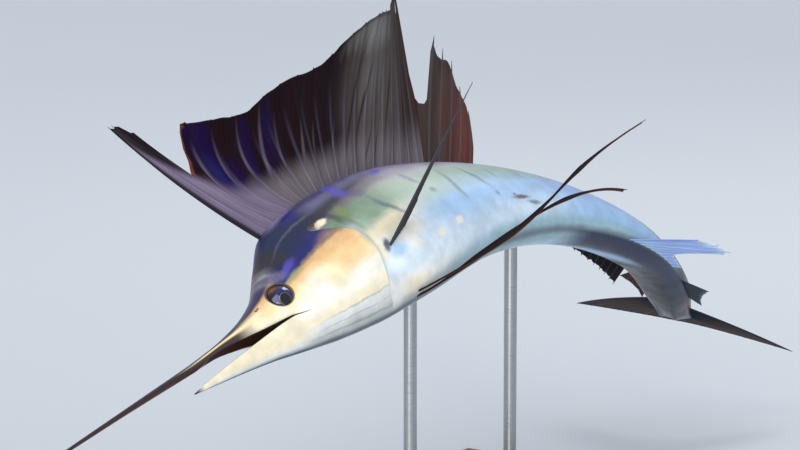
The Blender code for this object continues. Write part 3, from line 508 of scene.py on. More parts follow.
def build_skin():
    """One closed skin of trunk and jaws, with its sockets and nostrils, bent to the pose of the leap."""
    upper_stations = np.concatenate(([BILL_TIP], spread((BILL_TIP, -0.02, 0.008), (-0.02, 0.14, 0.0034),
                                                        (0.14, MOUTH_END, 0.0022))))
    lower_stations = np.concatenate(([JAW_TIP], spread((JAW_TIP, MOUTH_END, 0.0036))))
    upper = jaw_shell(upper_stations, upper_section, -45, 90, LIP_STEP, palate, BILL_AXIS[0][1])
    lower = jaw_shell(lower_stations, lower_section, 0, -90, SIDE_STEPS - LIP_STEP, mouth_floor,
                      JAW_TOP[0][1] - 0.001)
    whole = bmesh.new()
    whole.verts.layers.float.new("mouth")
    whole.verts.layers.float.new("jaw")
    for shell in (trunk_shell(), upper, lower):
        part = bpy.data.meshes.new("shell")
        shell.to_mesh(part)
        shell.free()
        whole.from_mesh(part)
        bpy.data.meshes.remove(part)
    bmesh.ops.remove_doubles(whole, verts=whole.verts, dist=MERGE)
    around_eyes = [e for e in whole.edges if near_eye(e.verts[0].co) and near_eye(e.verts[1].co)]
    bmesh.ops.subdivide_edges(whole, edges=around_eyes, cuts=2, use_grid_fill=True)
    bmesh.ops.recalc_face_normals(whole, faces=whole.faces)
    mesh = bpy.data.meshes.new("skin")
    whole.to_mesh(mesh)
    whole.free()
    points = corners_of(mesh)
    add_field(mesh, "chart", chart_of(points))
    points = sink_eyes_and_nostrils(points)
    add_field(mesh, "straight", points)
    write_corners(mesh, place(points))
    mesh.shade_smooth()
    return finish_piece("skin", mesh, "body_skin", "bill", "head", "lower_jaw", "body_front", "body_middle",
                        "body_rear", "tail_stock")


def near_eye(co):
    """Whether a corner lies so close to an eye or to the nostrils that its faces need to be finer."""
    if abs(co.y) <= 0.015:
        return False
    from_eye = math.hypot(co.x - EYE_STATION, co.z - EYE_HEIGHT)
    from_nostrils = math.hypot(co.x - NOSTRILS[0][0] + 0.004, co.z - NOSTRILS[0][1])
    return from_eye < EYE_RADIUS + 0.010 or from_nostrils < 0.014


# Eyes

def build_eye(side, word):
    """A flattened ball with a raised cornea, its gaze out of the head."""
    centre, ahead, up, out = eye_seat(side)
    bm = bmesh.new()
    bmesh.ops.create_uvsphere(bm, u_segments=64, v_segments=48, radius=1.0)
    mesh = bpy.data.meshes.new("eye_" + word)
    bm.to_mesh(mesh)
    bm.free()
    ball = corners_of(mesh)
    add_field(mesh, "eye", ball * np.array((1, -side, 1)))
    bulge = 0.0016 * ease((0.62 - np.hypot(ball[:, 0], ball[:, 1])) / 0.35) * (ball[:, 2] > 0)
    local = ball * np.array((EYE_RADIUS, EYE_RADIUS, EYE_DEPTH))
    local[:, 2] += bulge
    straight_points = centre + local[:, :1] * ahead + local[:, 1:2] * up + local[:, 2:] * out
    write_corners(mesh, place(straight_points))
    mesh.shade_smooth()
    return finish_piece("eyeball_" + word, mesh, "eye", "eye_" + word)


# Fins

RAY_COLUMNS = (0.0, 0.045, 0.09, 0.15, 0.27, 0.42)


def fin_columns(first, last, extra=()):
    """Ray numbers of a fin's columns: close together beside each ray, wider across the web."""
    places = {first, last, *extra}
    for ray in range(math.floor(first), math.ceil(last) + 1):
        for off in RAY_COLUMNS:
            places |= {q for q in (ray - off, ray + off) if first <= q <= last}
    return np.array(sorted(places))


def midline_rays(start, pitch, side_up, shape):
    """Rays on the body's midline: for each ray number its root, chord, bow and sunk root."""
    def ray_at(q):
        s = start + pitch * q
        height = float(curve(BACK, s)) if side_up > 0 else -float(curve(BELLY, s))
        tilt = math.radians(straight(shape, q, 4))
        lean = math.radians(straight(shape, q, 1))
        bow = math.radians(straight(shape, q, 2))
        length = straight(shape, q, 3)

        def way(angle):
            return direction(s, math.sin(angle) * math.cos(tilt), -math.sin(tilt),
                             side_up * math.cos(angle) * math.cos(tilt))
        root = place(np.array(((s, 0.0, height),)))[0]
        across = -way(lean + math.pi / 2) * (length * math.tan(bow / 8))
        return root, way(lean) * length, across, direction(s, 0, 0, -side_up) * 0.016
    return ray_at


def build_fin(name, ray_at, first, last, top_at, rows, slot, node, ray_thick=0.0034, ray_tip=0.0012,
              web=0.0011, pleat=0.0, extra=(), skew=0.0, aside=None):
    """A web through all rays, thick along each of them, folded a little between them."""
    columns = fin_columns(first, last, extra)
    bm, column, row = flat_grid(len(columns) - 1, rows)
    mesh = bpy.data.meshes.new(name)
    bm.to_mesh(mesh)
    bm.free()
    rays = [ray_at(q) for q in columns]
    tops = np.array([top_at(q) for q in columns])
    q = columns[column]
    off = np.abs(q - np.rint(q))
    u = np.where(row == 0, -1.0, (row - 1) / (rows - 1) * tops[column])
    above = np.maximum(u, 0.0)[:, None]
    root, chord, bow, sink = (np.array([ray[k] for ray in rays])[column] for k in range(4))
    arch = 4 * above * (1 - above) * (1 - skew * (2 * above - 1))
    points = root + chord * above + bow * arch + sink * np.maximum(-u, 0.0)[:, None]
    if aside:
        points += aside(q, above[:, 0])
    write_corners(mesh, points)
    between = np.sin(np.pi * (q - np.floor(q))) ** 2
    turn_out = np.where(np.floor(q) % 2 == 0, 1.0, -0.7)
    height = np.linalg.norm(chord, axis=1) * np.maximum(u, 0.0)
    fold = pleat * between * turn_out * ease(height / 0.05)
    points = points + normals_of(mesh) * fold[:, None]
    write_corners(mesh, points)
    add_field(mesh, "web", np.stack((q, np.maximum(u, 0.0), height), axis=1))
    ridge = np.exp(-(off / 0.075) ** 2)
    thin = web * (1 - 0.35 * np.maximum(u, 0.0))
    ray = np.maximum(ray_thick + (ray_tip - ray_thick) * np.maximum(u, 0.0), thin)
    thick = thin + (ray - thin) * ridge
    fin = finish_piece(name, mesh, slot, node)
    group = fin.vertex_groups.new(name="thickness")
    for index, weight in enumerate(thick / ray_thick):
        group.add((index,), float(min(weight, 1.0)), "REPLACE")
    solid = fin.modifiers.new("thickness", "SOLIDIFY")
    solid.thickness = ray_thick
    solid.offset = 0.0
    solid.vertex_group = group.name
    solid.thickness_vertex_group = 0.0
    mesh.shade_smooth()
    return fin


def whole_ray(q):
    return abs(q - round(q)) < 1e-6


def ragged(q, depth, seed):
    """How far a torn edge falls short at a ray number, the same on every run."""
    return depth * (0.5 + 0.5 * noise.noise(Vector((q * 2.3, seed, 0.5))))


LOBE_REAR = 2.09
SLIT = 0.012                # width of the seam between two pieces of the sail, in rays
REAR_SPLIT = 20.50
LOW_SPLIT = 25.30
LAST_RAY = 45

# Torn edges of the sail: ray number, and share of its length that the web reaches
NOTCH = ((2.10, 0.53), (2.40, 0.61), (2.65, 0.70), (2.73, 0.79), (2.82, 0.88), (2.90, 0.98), (2.95, 0.99))
TEAR_MAIN = ((20.06, 0.99), (20.16, 0.80), (20.28, 0.50), (20.50, 0.37))
TEAR_REAR = ((20.57, 0.38), (20.72, 0.45), (20.80, 0.52), (20.86, 0.62), (20.92, 0.93))
TEAR_END = ((25.05, 0.86), (25.30, 0.50))


def build_sail(fold):
    """The sail's four pieces, each with its own torn edge."""
    def top_front(q):
        return 1.0 - (0.0 if whole_ray(q) else ragged(q, 0.03, 1.0)) if q <= 2.0 else 0.93

    def top_main(q):
        if q < 2.95:
            return float(straight(NOTCH, q))
        if q < 19.5:
            return 1.0 if whole_ray(q) else 0.998 - ragged(q, 0.012, 2.0)
        if q <= 20.0:
            return 1.0 if whole_ray(q) else 0.84 - ragged(q, 0.03, 2.0)
        return float(straight(TEAR_MAIN, q))

    def top_rear(q):
        if q > 25.05:
            return float(straight(TEAR_END, q))
        if q < 20.95:
            return float(straight(TEAR_REAR, q))
        return 1.0 if whole_ray(q) else 0.94 - ragged(q, 0.05, 3.0)

    def top_low(q):
        return 1.0 if whole_ray(q) else 0.97 - ragged(q, 0.10, 4.0)

    sail = midline_rays(SAIL_START, SAIL_PITCH, 1, SAIL_SHAPE)
    rear = midline_rays(SAIL_START, SAIL_PITCH, 1, SAIL_REAR_SHAPE)
    low = midline_rays(SAIL_START, SAIL_PITCH, 1, SAIL_LOW_SHAPE)
    return (
        build_fin("sail_lobe_web", sail, 0, LOBE_REAR, top_front, 56, "sail", "sail_front",
                  pleat=fold * 0.7),
        build_fin("sail_tall_web", sail, LOBE_REAR + SLIT, REAR_SPLIT, top_main, 56, "sail", "sail_main",
                  pleat=fold, extra=(20.28,)),
        build_fin("sail_rear_web", rear, REAR_SPLIT + SLIT, LOW_SPLIT, top_rear, 48, "sail", "sail_rear",
                  pleat=fold, extra=(20.72, 20.80)),
        build_fin("sail_low_web", low, LOW_SPLIT + SLIT, LAST_RAY, top_low, 12, "sail", "sail_low",
                  pleat=fold * 0.3))


def build_small_fins():
    """First anal fin, second dorsal fin and second anal fin."""
    def top(q):
        return 1.0 if whole_ray(q) else 0.955
    first = midline_rays(ANAL_START, ANAL_PITCH, -1, ANAL_SHAPE)
    dorsal = midline_rays(SMALL_DORSAL_START, SMALL_PITCH, 1, SMALL_DORSAL_SHAPE)
    anal = midline_rays(SMALL_ANAL_START, SMALL_PITCH, -1, SMALL_ANAL_SHAPE)
    return (
        build_fin("first_anal_web", first, 0, 9, top, 24, "anal_fin", "first_anal_fin"),
        build_fin("second_dorsal_web", dorsal, 0, 5, top, 16, "small_fin", "second_dorsal_fin"),
        build_fin("second_anal_web", anal, 0, 5, top, 16, "small_fin", "second_anal_fin"))


PECTORAL_START = 0.482
PECTORAL_PITCH = 0.0085
PECTORAL_SIDE = 0.0755
PECTORAL_HEIGHT = -0.038
PECTORAL_SHORTEST = 0.070
PECTORAL_REACH = 0.277      # how much longer the leading ray is


def build_pectorals():
    """Both pectoral fins, with the longest ray in front."""
    last = 6

    def rays(side):
        lead, trail = np.array((0.60, side * 0.79, 0.26)), np.array((0.80, side * 0.56, 0.28))

        def ray_at(q):
            t = q / last
            s = PECTORAL_START + PECTORAL_PITCH * q
            way = lead + (trail - lead) * t
            way /= np.linalg.norm(way)
            length = PECTORAL_SHORTEST + PECTORAL_REACH * (1 - t) ** 2.0
            root = place(np.array(((s, side * PECTORAL_SIDE, PECTORAL_HEIGHT + 0.010 * t),)))[0]
            bow = direction(s, -0.5, side * 0.4, 0) * 0.010 * (1 - t)
            return root, direction(s, *way) * length, bow, direction(s, 0.0, -side, -0.1) * 0.018
        return ray_at

    def top(q):
        return 1.0 if whole_ray(q) else 0.985
    return [build_fin("pectoral_web_" + word, rays(side), 0, last, top, 40, "small_fin",
                      "pectoral_fin_" + word, ray_thick=0.0055)
            for side, word in ((-1, "left"), (1, "right"))]


# Pelvic fins: offset from the belly's middle, chord, bow, and the bow's skew towards the tip
PELVIC_STATION = 0.500
PELVIC_SHAPES = {"left": (-0.022, (0.546, -0.243, -0.061), (0.022, -0.020, -0.018), 2.44),
                 "right": (-0.010, (0.499, -0.129, -0.115), (0.021, -0.018, 0.026), -0.97)}
PELVIC_WIDTH = ((0.0, 0.0028), (0.12, 0.0032), (0.27, 0.0112), (0.42, 0.0084), (0.53, 0.0030),
                (0.61, 0.0050), (0.72, 0.0090), (0.82, 0.0052), (1.0, 0.0012))


def build_pelvics():
    """Both pelvic fins: long, narrow blades of three rays, which trail behind the belly."""
    last = 2
    station = PELVIC_STATION
    wide = direction(station, 0.11, 0.0, 1.0)

    def rays(word):
        y, reach, bow, skew = PELVIC_SHAPES[word]
        share = abs(y) / float(curve(FLANK, station))
        z = -float(curve(BELLY, station)) * (1 - share ** BELLY_POWER) ** (1 / BELLY_POWER)
        start = place(np.array(((station, y, z),)))[0]

        def ray_at(q):
            chord = direction(station, *reach) * (1 - 0.02 * abs(q - 1))
            return start, chord, direction(station, *bow), direction(station, -0.6, 0.3, 0.7) * 0.020
        return ray_at, skew

    def aside(q, u):
        return wide * ((q - 1) / 2 * straight(PELVIC_WIDTH, u))[:, None]

    def top(q):
        return 1.0 if whole_ray(q) else 0.99
    blades = []
    for word in PELVIC_SHAPES:
        ray_at, skew = rays(word)
        blades.append(build_fin("pelvic_web_" + word, ray_at, 0, last, top, 60, "small_fin",
                                "pelvic_fin_" + word, ray_thick=0.0038, ray_tip=0.0014, web=0.0024, skew=skew,
                                aside=aside))
    return blades


def build_caudal():
    """Both lobes of the tail fin."""
    last = 8
    tip_s, tip_z, fork_s = 1.970, 0.246, 1.865
    root_s, root_z = 1.722, 0.038
    sway = {1: 0.007, -1: -0.030}

    def rays(side_up):
        def ray_at(q):
            t = q / last
            along_edge = min(t / 0.45, 1.0)
            down_end = max((t - 0.45) / 0.55, 0.0)
            z0 = (root_z + 0.002 * along_edge) * (1 - down_end) + GAP / 2
            s0 = root_s + (BODY_END - 0.010 - root_s) * along_edge
            z = tip_z * (1 - t) ** 1.15 + GAP / 2
            s = fork_s + (tip_s - fork_s) * (z / tip_z) ** 1.25
            root, end = place(np.array(((s0, 0, side_up * z0), (s, sway[side_up] * (1 - t), side_up * z))))
            bow = direction(SPINE_END, -0.7, 0, side_up * 0.7) * 0.012 * (1 - t) ** 1.5
            inward = direction(SPINE_END, -0.5 - 0.5 * t, 0, side_up * -0.7 * (1 - down_end)) * 0.014
            return root, end - root, bow, inward
        return ray_at

    def top(q):
        return 1.0 if whole_ray(q) else 0.99
    return [build_fin("caudal_web_" + word, rays(side_up), 0, last, top, 40, "caudal_fin",
                      "caudal_fin_" + word, ray_thick=0.0070, ray_tip=0.0016, web=0.0018)
            for side_up, word in ((1, "upper"), (-1, "lower"))]


# Paint

def tone(red, green, blue):
    """A colour named as it looks on a screen, 0 to 255, as the light it reflects."""
    return tuple((c / 255) ** 2.2 for c in (red, green, blue)) + (1.0,)


COLOURS = {
    "black navy": tone(12, 18, 32), "navy": tone(32, 42, 72), "indigo": tone(42, 42, 104),
    "royal": tone(34, 30, 112), "grape": tone(58, 50, 84), "haze": tone(152, 172, 192),
    "frost": tone(232, 244, 252), "aubergine": tone(32, 18, 24), "deep violet": tone(30, 14, 62),
    "taupe": tone(84, 76, 74), "umber": tone(64, 54, 50), "fawn": tone(112, 104, 108),
    "ink": tone(50, 46, 54), "violet": tone(92, 82, 190), "lilac": tone(140, 134, 168),
    "dusk": tone(108, 102, 136), "plum": tone(76, 68, 116), "mauve": tone(172, 162, 178),
    "smoke": tone(112, 104, 108), "sky": tone(168, 206, 244), "periwinkle": tone(158, 186, 244),
    "ice": tone(216, 234, 248), "sea": tone(158, 192, 202), "slate": tone(106, 122, 134),
    "deep teal": tone(62, 92, 108), "mint": tone(164, 190, 166), "moss": tone(122, 146, 120),
    "olive": tone(124, 140, 82), "cream": tone(244, 232, 200), "milk": tone(254, 248, 234),
    "butter": tone(250, 232, 178), "peach": tone(246, 196, 138), "tan": tone(206, 170, 118),
    "pearl": tone(228, 229, 225), "ash": tone(186, 190, 185), "brown": tone(58, 38, 32),
    "rust": tone(118, 66, 48), "black": tone(22, 18, 20), "mouth": tone(84, 56, 48),
    "veil": tone(95, 85, 105), "dove": tone(120, 108, 130), "russet": tone(95, 35, 20),
    "maroon": tone(66, 28, 26), "storm": tone(50, 58, 70), "lichen": tone(66, 74, 68),
}


def put(tree, kind, settings=None, **inputs):
    """Adds a shader node. An input's name has underscores for spaces; its value is a number or a socket."""
    node = tree.nodes.new("ShaderNode" + kind)
    for name, value in (settings or {}).items():
        setattr(node, name, value)
    for name, value in inputs.items():
        feed(tree, node.inputs[name.replace("_", " ")], value)
    return node


def feed(tree, socket, value):
    """Sets a socket to a value, or links it to another socket."""
    if isinstance(value, bpy.types.NodeSocket):
        tree.links.new(value, socket)
    else:
        socket.default_value = value


def sums(tree, operation, *values):
    """One step of arithmetic."""
    node = tree.nodes.new("ShaderNodeMath")
    node.operation = operation
    for socket, value in zip(node.inputs, values):
        feed(tree, socket, value)
    return node.outputs[0]


def times(tree, one, other):
    return sums(tree, "MULTIPLY", one, other)


def step_between(tree, value, start, end, low=0.0, high=1.0):
    """Eases from low to high as the value goes from start to end."""
    node = put(tree, "MapRange", {"interpolation_type": "SMOOTHSTEP"}, Value=value, From_Min=start,
               From_Max=end, To_Min=low, To_Max=high)
    return node.outputs[0]


def wander(tree, value, cloud, reach):
    """A value pushed to and fro by a noise that lies round one half."""
    return sums(tree, "ADD", value, times(tree, sums(tree, "SUBTRACT", cloud, 0.5), reach))


def mix(tree, share, below, above, blend="MIX"):
    """Lays one colour over another."""
    node = tree.nodes.new("ShaderNodeMix")
    node.data_type = "RGBA"
    node.blend_type = blend
    feed(tree, node.inputs[0], share)
    feed(tree, node.inputs[6], below)
    feed(tree, node.inputs[7], above)
    return node.outputs[2]


def ramp_of(tree, value, stops, interpolation):
    """A run of colours along a value, from the first stop's place to the last one's."""
    low, high = stops[0][0], stops[-1][0]
    share = put(tree, "MapRange", Value=value, From_Min=low, From_Max=high).outputs[0]
    ramp = put(tree, "ValToRGB", Fac=share)
    ramp.color_ramp.interpolation = interpolation
    elements = ramp.color_ramp.elements
    while len(elements) < len(stops):
        elements.new(0.5)
    for element, (place_at, colour) in zip(elements, stops):
        element.position = (place_at - low) / (high - low)
        element.color = colour
    return ramp.outputs[0]


def bands(tree, value, stops):
    """A run of named colours along a value."""
    return ramp_of(tree, value, [(place_at, COLOURS[colour]) for place_at, colour in stops], "EASE")


def bands_value(tree, value, stops):
    """A number that follows named places along a value."""
    return ramp_of(tree, value, [(place_at, (n, n, n, 1.0)) for place_at, n in stops], "LINEAR")


def split(tree, vector):
    return put(tree, "SeparateXYZ", Vector=vector).outputs


def joined(tree, x, y, z=0.0):
    return put(tree, "CombineXYZ", X=x, Y=y, Z=z).outputs[0]


def field(tree, name):
    """A value that was written at the mesh's corners."""
    return put(tree, "Attribute", {"attribute_name": name}).outputs["Vector"]


def noise_at(tree, vector, scale, detail=4.0, roughness=0.55):
    return put(tree, "TexNoise", Vector=vector, Scale=scale, Detail=detail, Roughness=roughness).outputs


def scaled(tree, vector, factors):
    node = tree.nodes.new("ShaderNodeVectorMath")
    node.operation = "MULTIPLY"
    feed(tree, node.inputs[0], vector)
    node.inputs[1].default_value = factors
    return node.outputs[0]


def darken(tree, colour, shade):
    """A colour made lighter or darker by a factor."""
    return mix(tree, 1.0, colour, joined(tree, shade, shade, shade), "MULTIPLY")


def press(tree, shader, height, strength, depth):
    """Relief of the surface, in metres."""
    bump = put(tree, "Bump", Height=height)
    bump.inputs["Strength"].default_value = strength
    bump.inputs["Distance"].default_value = depth
    feed(tree, shader.inputs["Normal"], bump.outputs[0])


def new_group(name, inputs, outputs):
    """A node group with named sockets: each input is (name, kind, default), each output (name, kind)."""
    group = bpy.data.node_groups.new(name, "ShaderNodeTree")
    for label, kind, default in inputs:
        socket = group.interface.new_socket(label, in_out="INPUT", socket_type="NodeSocket" + kind)
        if default is not None:
            socket.default_value = default
    for label, kind in outputs:
        group.interface.new_socket(label, in_out="OUTPUT", socket_type="NodeSocket" + kind)
    return group, group.nodes.new("NodeGroupInput").outputs, group.nodes.new("NodeGroupOutput").inputs


def patch_group():
    """A soft-edged patch on a chart: reach along and up, a lean, and a bend like a bow's."""
    group, given, result = new_group("Painted Patch", (
        ("Place", "Vector", None), ("Along", "Float", 0.5), ("Up", "Float", 0.0),
        ("Reach Along", "Float", 0.02), ("Reach Up", "Float", 10.0), ("Lean", "Float", 0.0),
        ("Bend", "Float", 0.0), ("Softness", "Float", 0.4),
    ), (("Mask", "Float"),))
    along, up, _ = split(group, given["Place"])
    high = sums(group, "DIVIDE", sums(group, "SUBTRACT", up, given["Up"]), given["Reach Up"])
    shift = times(group, high, given["Lean"])
    bow = times(group, times(group, high, high), given["Bend"])
    middle = sums(group, "ADD", given["Along"], sums(group, "ADD", shift, bow))
    far = sums(group, "DIVIDE", sums(group, "SUBTRACT", along, middle), given["Reach Along"])
    reach = sums(group, "SQRT", sums(group, "ADD", times(group, far, far), times(group, high, high)))
    outer = sums(group, "ADD", 1.0, given["Softness"])
    inner = sums(group, "SUBTRACT", 1.0, given["Softness"])
    feed(group, result["Mask"], step_between(group, reach, outer, inner))
    return group


def drift_group():
    """Shifts a chart's places about, so that painted edges wander and fray as they do on skin."""
    group, given, result = new_group("Uneven Edge", (
        ("Chart", "Vector", None), ("Straight", "Vector", None), ("Along", "Float", 0.016),
        ("Up", "Float", 7.0),
    ), (("Place", "Vector"),))
    wide = noise_at(group, given["Straight"], 17.0, 2.0)["Color"]
    fine = noise_at(group, scaled(group, given["Straight"], (0.5, 1.0, 1.0)), 150.0, 4.0, 0.7)["Color"]
    along, up, behind = split(group, given["Chart"])
    w, f = split(group, wide), split(group, fine)
    shift = wander(group, sums(group, "SUBTRACT", w[0], 0.5), f[0], 0.55)
    lift = wander(group, sums(group, "SUBTRACT", w[1], 0.5), f[1], 0.55)
    feed(group, result["Place"], joined(
        group, sums(group, "ADD", along, times(group, shift, given["Along"])),
        sums(group, "ADD", up, times(group, lift, given["Up"])), behind))
    return group


def scale_group():
    """The height of fine, long scales that lie tailwards, and of the creases between them."""
    group, given, result = new_group("Fine Scales", (
        ("Straight", "Vector", None), ("Cover", "Float", 1.0),
    ), (("Height", "Float"),))
    stretched = scaled(group, given["Straight"], (1.0, 2.4, 2.4))
    cells = put(group, "TexVoronoi", {"feature": "F1"}, Vector=stretched, Scale=210.0,
                Randomness=0.85).outputs["Distance"]
    grain = noise_at(group, given["Straight"], 420.0, 3.0)["Fac"]
    flow = noise_at(group, scaled(group, given["Straight"], (0.12, 1.0, 1.0)), 90.0, 3.0)["Fac"]
    scales = times(group, sums(group, "SUBTRACT", 1.0, cells), given["Cover"])
    rough = sums(group, "ADD", times(group, grain, 0.35), times(group, flow, 0.7))
    feed(group, result["Height"], sums(group, "ADD", scales, rough))
    return group


def ray_group():
    """Where a fin's rays run, how far between two rays, and fibres that follow them."""
    group, given, result = new_group("Fin Rays", (
        ("Web", "Vector", None), ("Width", "Float", 0.12), ("Fibres", "Float", 9.0),
    ), (("Rays", "Float"), ("Behind", "Float"), ("Streaks", "Float")))
    number, height, _ = split(group, given["Web"])
    part = sums(group, "SUBTRACT", number, sums(group, "ROUND", number))
    feed(group, result["Rays"], step_between(group, sums(group, "ABSOLUTE", part), given["Width"], 0.0))
    feed(group, result["Behind"], part)
    fibres = joined(group, times(group, number, given["Fibres"]), times(group, height, 3.0))
    feed(group, result["Streaks"], noise_at(group, fibres, 1.0, 5.0, 0.6)["Fac"])
    return group


def group_node(tree, name, **inputs):
    node = tree.nodes.new("ShaderNodeGroup")
    node.node_tree = bpy.data.node_groups[name]
    for label, value in inputs.items():
        feed(tree, node.inputs[label.replace("_", " ")], value)
    return node.outputs


def paint(tree, base, place_at, marks):
    """Lays named marks over a colour.

    A mark is its colour, strength, place along and up, reach along and up, lean, bend and softness.
    """
    for colour, strength, along, up, reach_along, reach_up, lean, bend, soft in marks:
        mask = group_node(tree, "Painted Patch", Place=place_at, Along=along, Up=up,
                          Reach_Along=reach_along, Reach_Up=reach_up, Lean=lean, Bend=bend,
                          Softness=soft)["Mask"]
        base = mix(tree, times(tree, mask, strength), base, COLOURS[colour])
    return base


def new_material(name):
    material = bpy.data.materials.new(name)
    material.use_nodes = True
    tree = material.node_tree
    return material, tree, tree.nodes["Principled BSDF"]


# Skin colours by region, as angles up the side: -90 is the middle of the belly, 90 the crest

# Towards -90 each band greys to slate, through ash or sea: painted shade on the underside, which turns away
# from the light.
HEAD_BANDS = ((-90, "slate"), (-76, "ash"), (-48, "pearl"), (-42, "cream"), (-20, "milk"), (0, "butter"),
              (13, "peach"), (19, "tan"), (24, "indigo"), (42, "navy"), (66, "navy"), (90, "plum"))
SHOULDER_BANDS = ((-90, "slate"), (-76, "ash"), (-58, "milk"), (-40, "frost"), (-16, "frost"),
                  (-2, "cream"), (14, "mint"), (26, "moss"), (35, "smoke"), (44, "ink"), (55, "dusk"),
                  (72, "plum"), (90, "plum"))
FLANK_BANDS = ((-90, "slate"), (-76, "sea"), (-54, "ice"), (-16, "sky"), (0, "sea"), (14, "mint"),
               (25, "ash"), (36, "mauve"), (52, "lilac"), (68, "dusk"), (90, "navy"))
LOIN_BANDS = ((-90, "slate"), (-76, "sea"), (-60, "sky"), (-40, "sky"), (-15, "periwinkle"), (5, "haze"),
              (25, "haze"), (45, "dusk"), (60, "grape"), (90, "navy"))
# Tail stock: the back's own dark navy, deepened by painted shade that takes the whole tail stock, its lower
# side too, to near black.
TAIL_BANDS = ((-90, "black navy"), (-76, "black"), (-52, "black"), (-20, "black navy"), (25, "black navy"),
              (50, "navy"), (90, "black navy"))
# On the bill, the tan and cream stripe from 8 to 28 degrees is a painted highlight along its side.
BILL_BANDS = ((-90, "umber"), (-14, "umber"), (0, "umber"), (8, "tan"), (18, "cream"), (28, "tan"),
              (36, "grape"), (56, "black navy"), (90, "grape"))
BARE_BILL_BANDS = ((-90, "black"), (-20, "brown"), (14, "brown"), (30, "grape"), (90, "black"))
SNOUT_BANDS = ((-90, "tan"), (-12, "cream"), (-3, "cream"), (8, "butter"), (26, "cream"), (38, "tan"),
               (50, "grape"), (66, "grape"), (90, "smoke"))
# Towards the chin the lower jaw greys through ash and slate to deep teal: painted shade on its underside.
JAW_BANDS = ((0.20, "umber"), (0.225, "cream"), (0.42, "cream"), (0.66, "cream"), (0.78, "pearl"),
             (0.86, "ash"), (0.94, "slate"), (1.0, "deep teal"))   # from the lip at 0.2 to the chin

# Marks on the skin: colour, strength, station and angle, reach along and up, lean, bend and softness

HEAD_MARKS = (
    ("smoke", 0.95, 0.240, 72, 0.030, 28, -0.012, 0.0, 0.5),     # grey forehead
    ("ink", 0.95, 0.285, 66, 0.022, 34, -0.02, 0.0, 0.4),       # dark stripe behind it
    ("ash", 0.45, 0.228, 66, 0.006, 26, -0.012, 0.0, 0.7),
    ("ash", 0.35, 0.249, 62, 0.004, 22, -0.014, 0.0, 0.7),
    ("navy", 0.9, 0.335, 62, 0.034, 30, -0.01, 0.0, 0.4),
    ("lilac", 0.75, 0.405, 82, 0.050, 13, 0.02, 0.0, 0.5),      # paler crest
    ("royal", 0.95, 0.400, 62, 0.026, 8, 0.006, 0.0, 0.5),
    ("violet", 0.75, 0.288, 30, 0.022, 4.5, 0.0, 0.0, 0.6),
    ("dusk", 0.8, 0.258, 40, 0.014, 14, -0.016, 0.0, 0.5),      # violet-grey round the eye
    ("smoke", 0.45, 0.370, 50, 0.070, 1.6, 0.0, 0.0, 0.8),      # thin pale line along the crown
    ("moss", 0.55, 0.284, 19, 0.022, 4, 0.0, 0.0, 0.6),         # green tint at the crown's edge
    ("peach", 0.75, 0.405, 4, 0.040, 18, 0.0, 0.0, 0.6),
    ("tan", 0.55, 0.385, 14, 0.052, 5, 0.0, 0.0, 0.7),
    ("grape", 0.55, 0.375, 21, 0.060, 1.8, 0.0, 0.0, 0.8),
    ("milk", 0.8, 0.300, -12, 0.040, 18, 0.01, 0.0, 0.7),
    ("milk", 0.7, 0.400, -22, 0.046, 9, 0.0, 0.0, 0.6),
    ("butter", 0.55, 0.352, -14, 0.022, 9, 0.0, 0.0, 0.7),
    ("slate", 0.5, 0.350, -69, 0.100, 1.6, 0.0, 0.0, 0.8),      # fine lines under the throat: painted shade in the folds of the gill membranes
    ("slate", 0.4, 0.360, -45, 0.080, 1.1, 0.0, 0.0, 0.8),
    ("slate", 0.35, 0.330, -57, 0.080, 0.9, 0.0, 0.0, 0.8),
)
GILL_MARKS = (
    ("ink", 0.9, 0.430, 41, 0.034, 4.5, 0.0, 0.0, 0.5),         # dark band over the gill cover
    # thin dark line: painted shadow cast by the gill cover's raised edge
    ("ink", 0.55, 0.452, 27, 0.008, 15, -0.014, 0.0, 0.6),
    ("cream", 0.95, 0.417, 34.5, 0.015, 3.0, 0.0, 0.0, 0.4),    # pale strip at the cover's upper corner
    ("peach", 0.8, 0.407, 36, 0.003, 1.6, 0.0, 0.0, 0.6),
    ("olive", 0.8, 0.470, 30, 0.014, 7, 0.0, 0.0, 0.6),
    ("ash", 0.7, 0.455, 6, 0.010, 14, 0.0, 0.0, 0.6),
    ("cream", 0.75, 0.462, -16, 0.010, 9, 0.0, 0.0, 0.6),
)
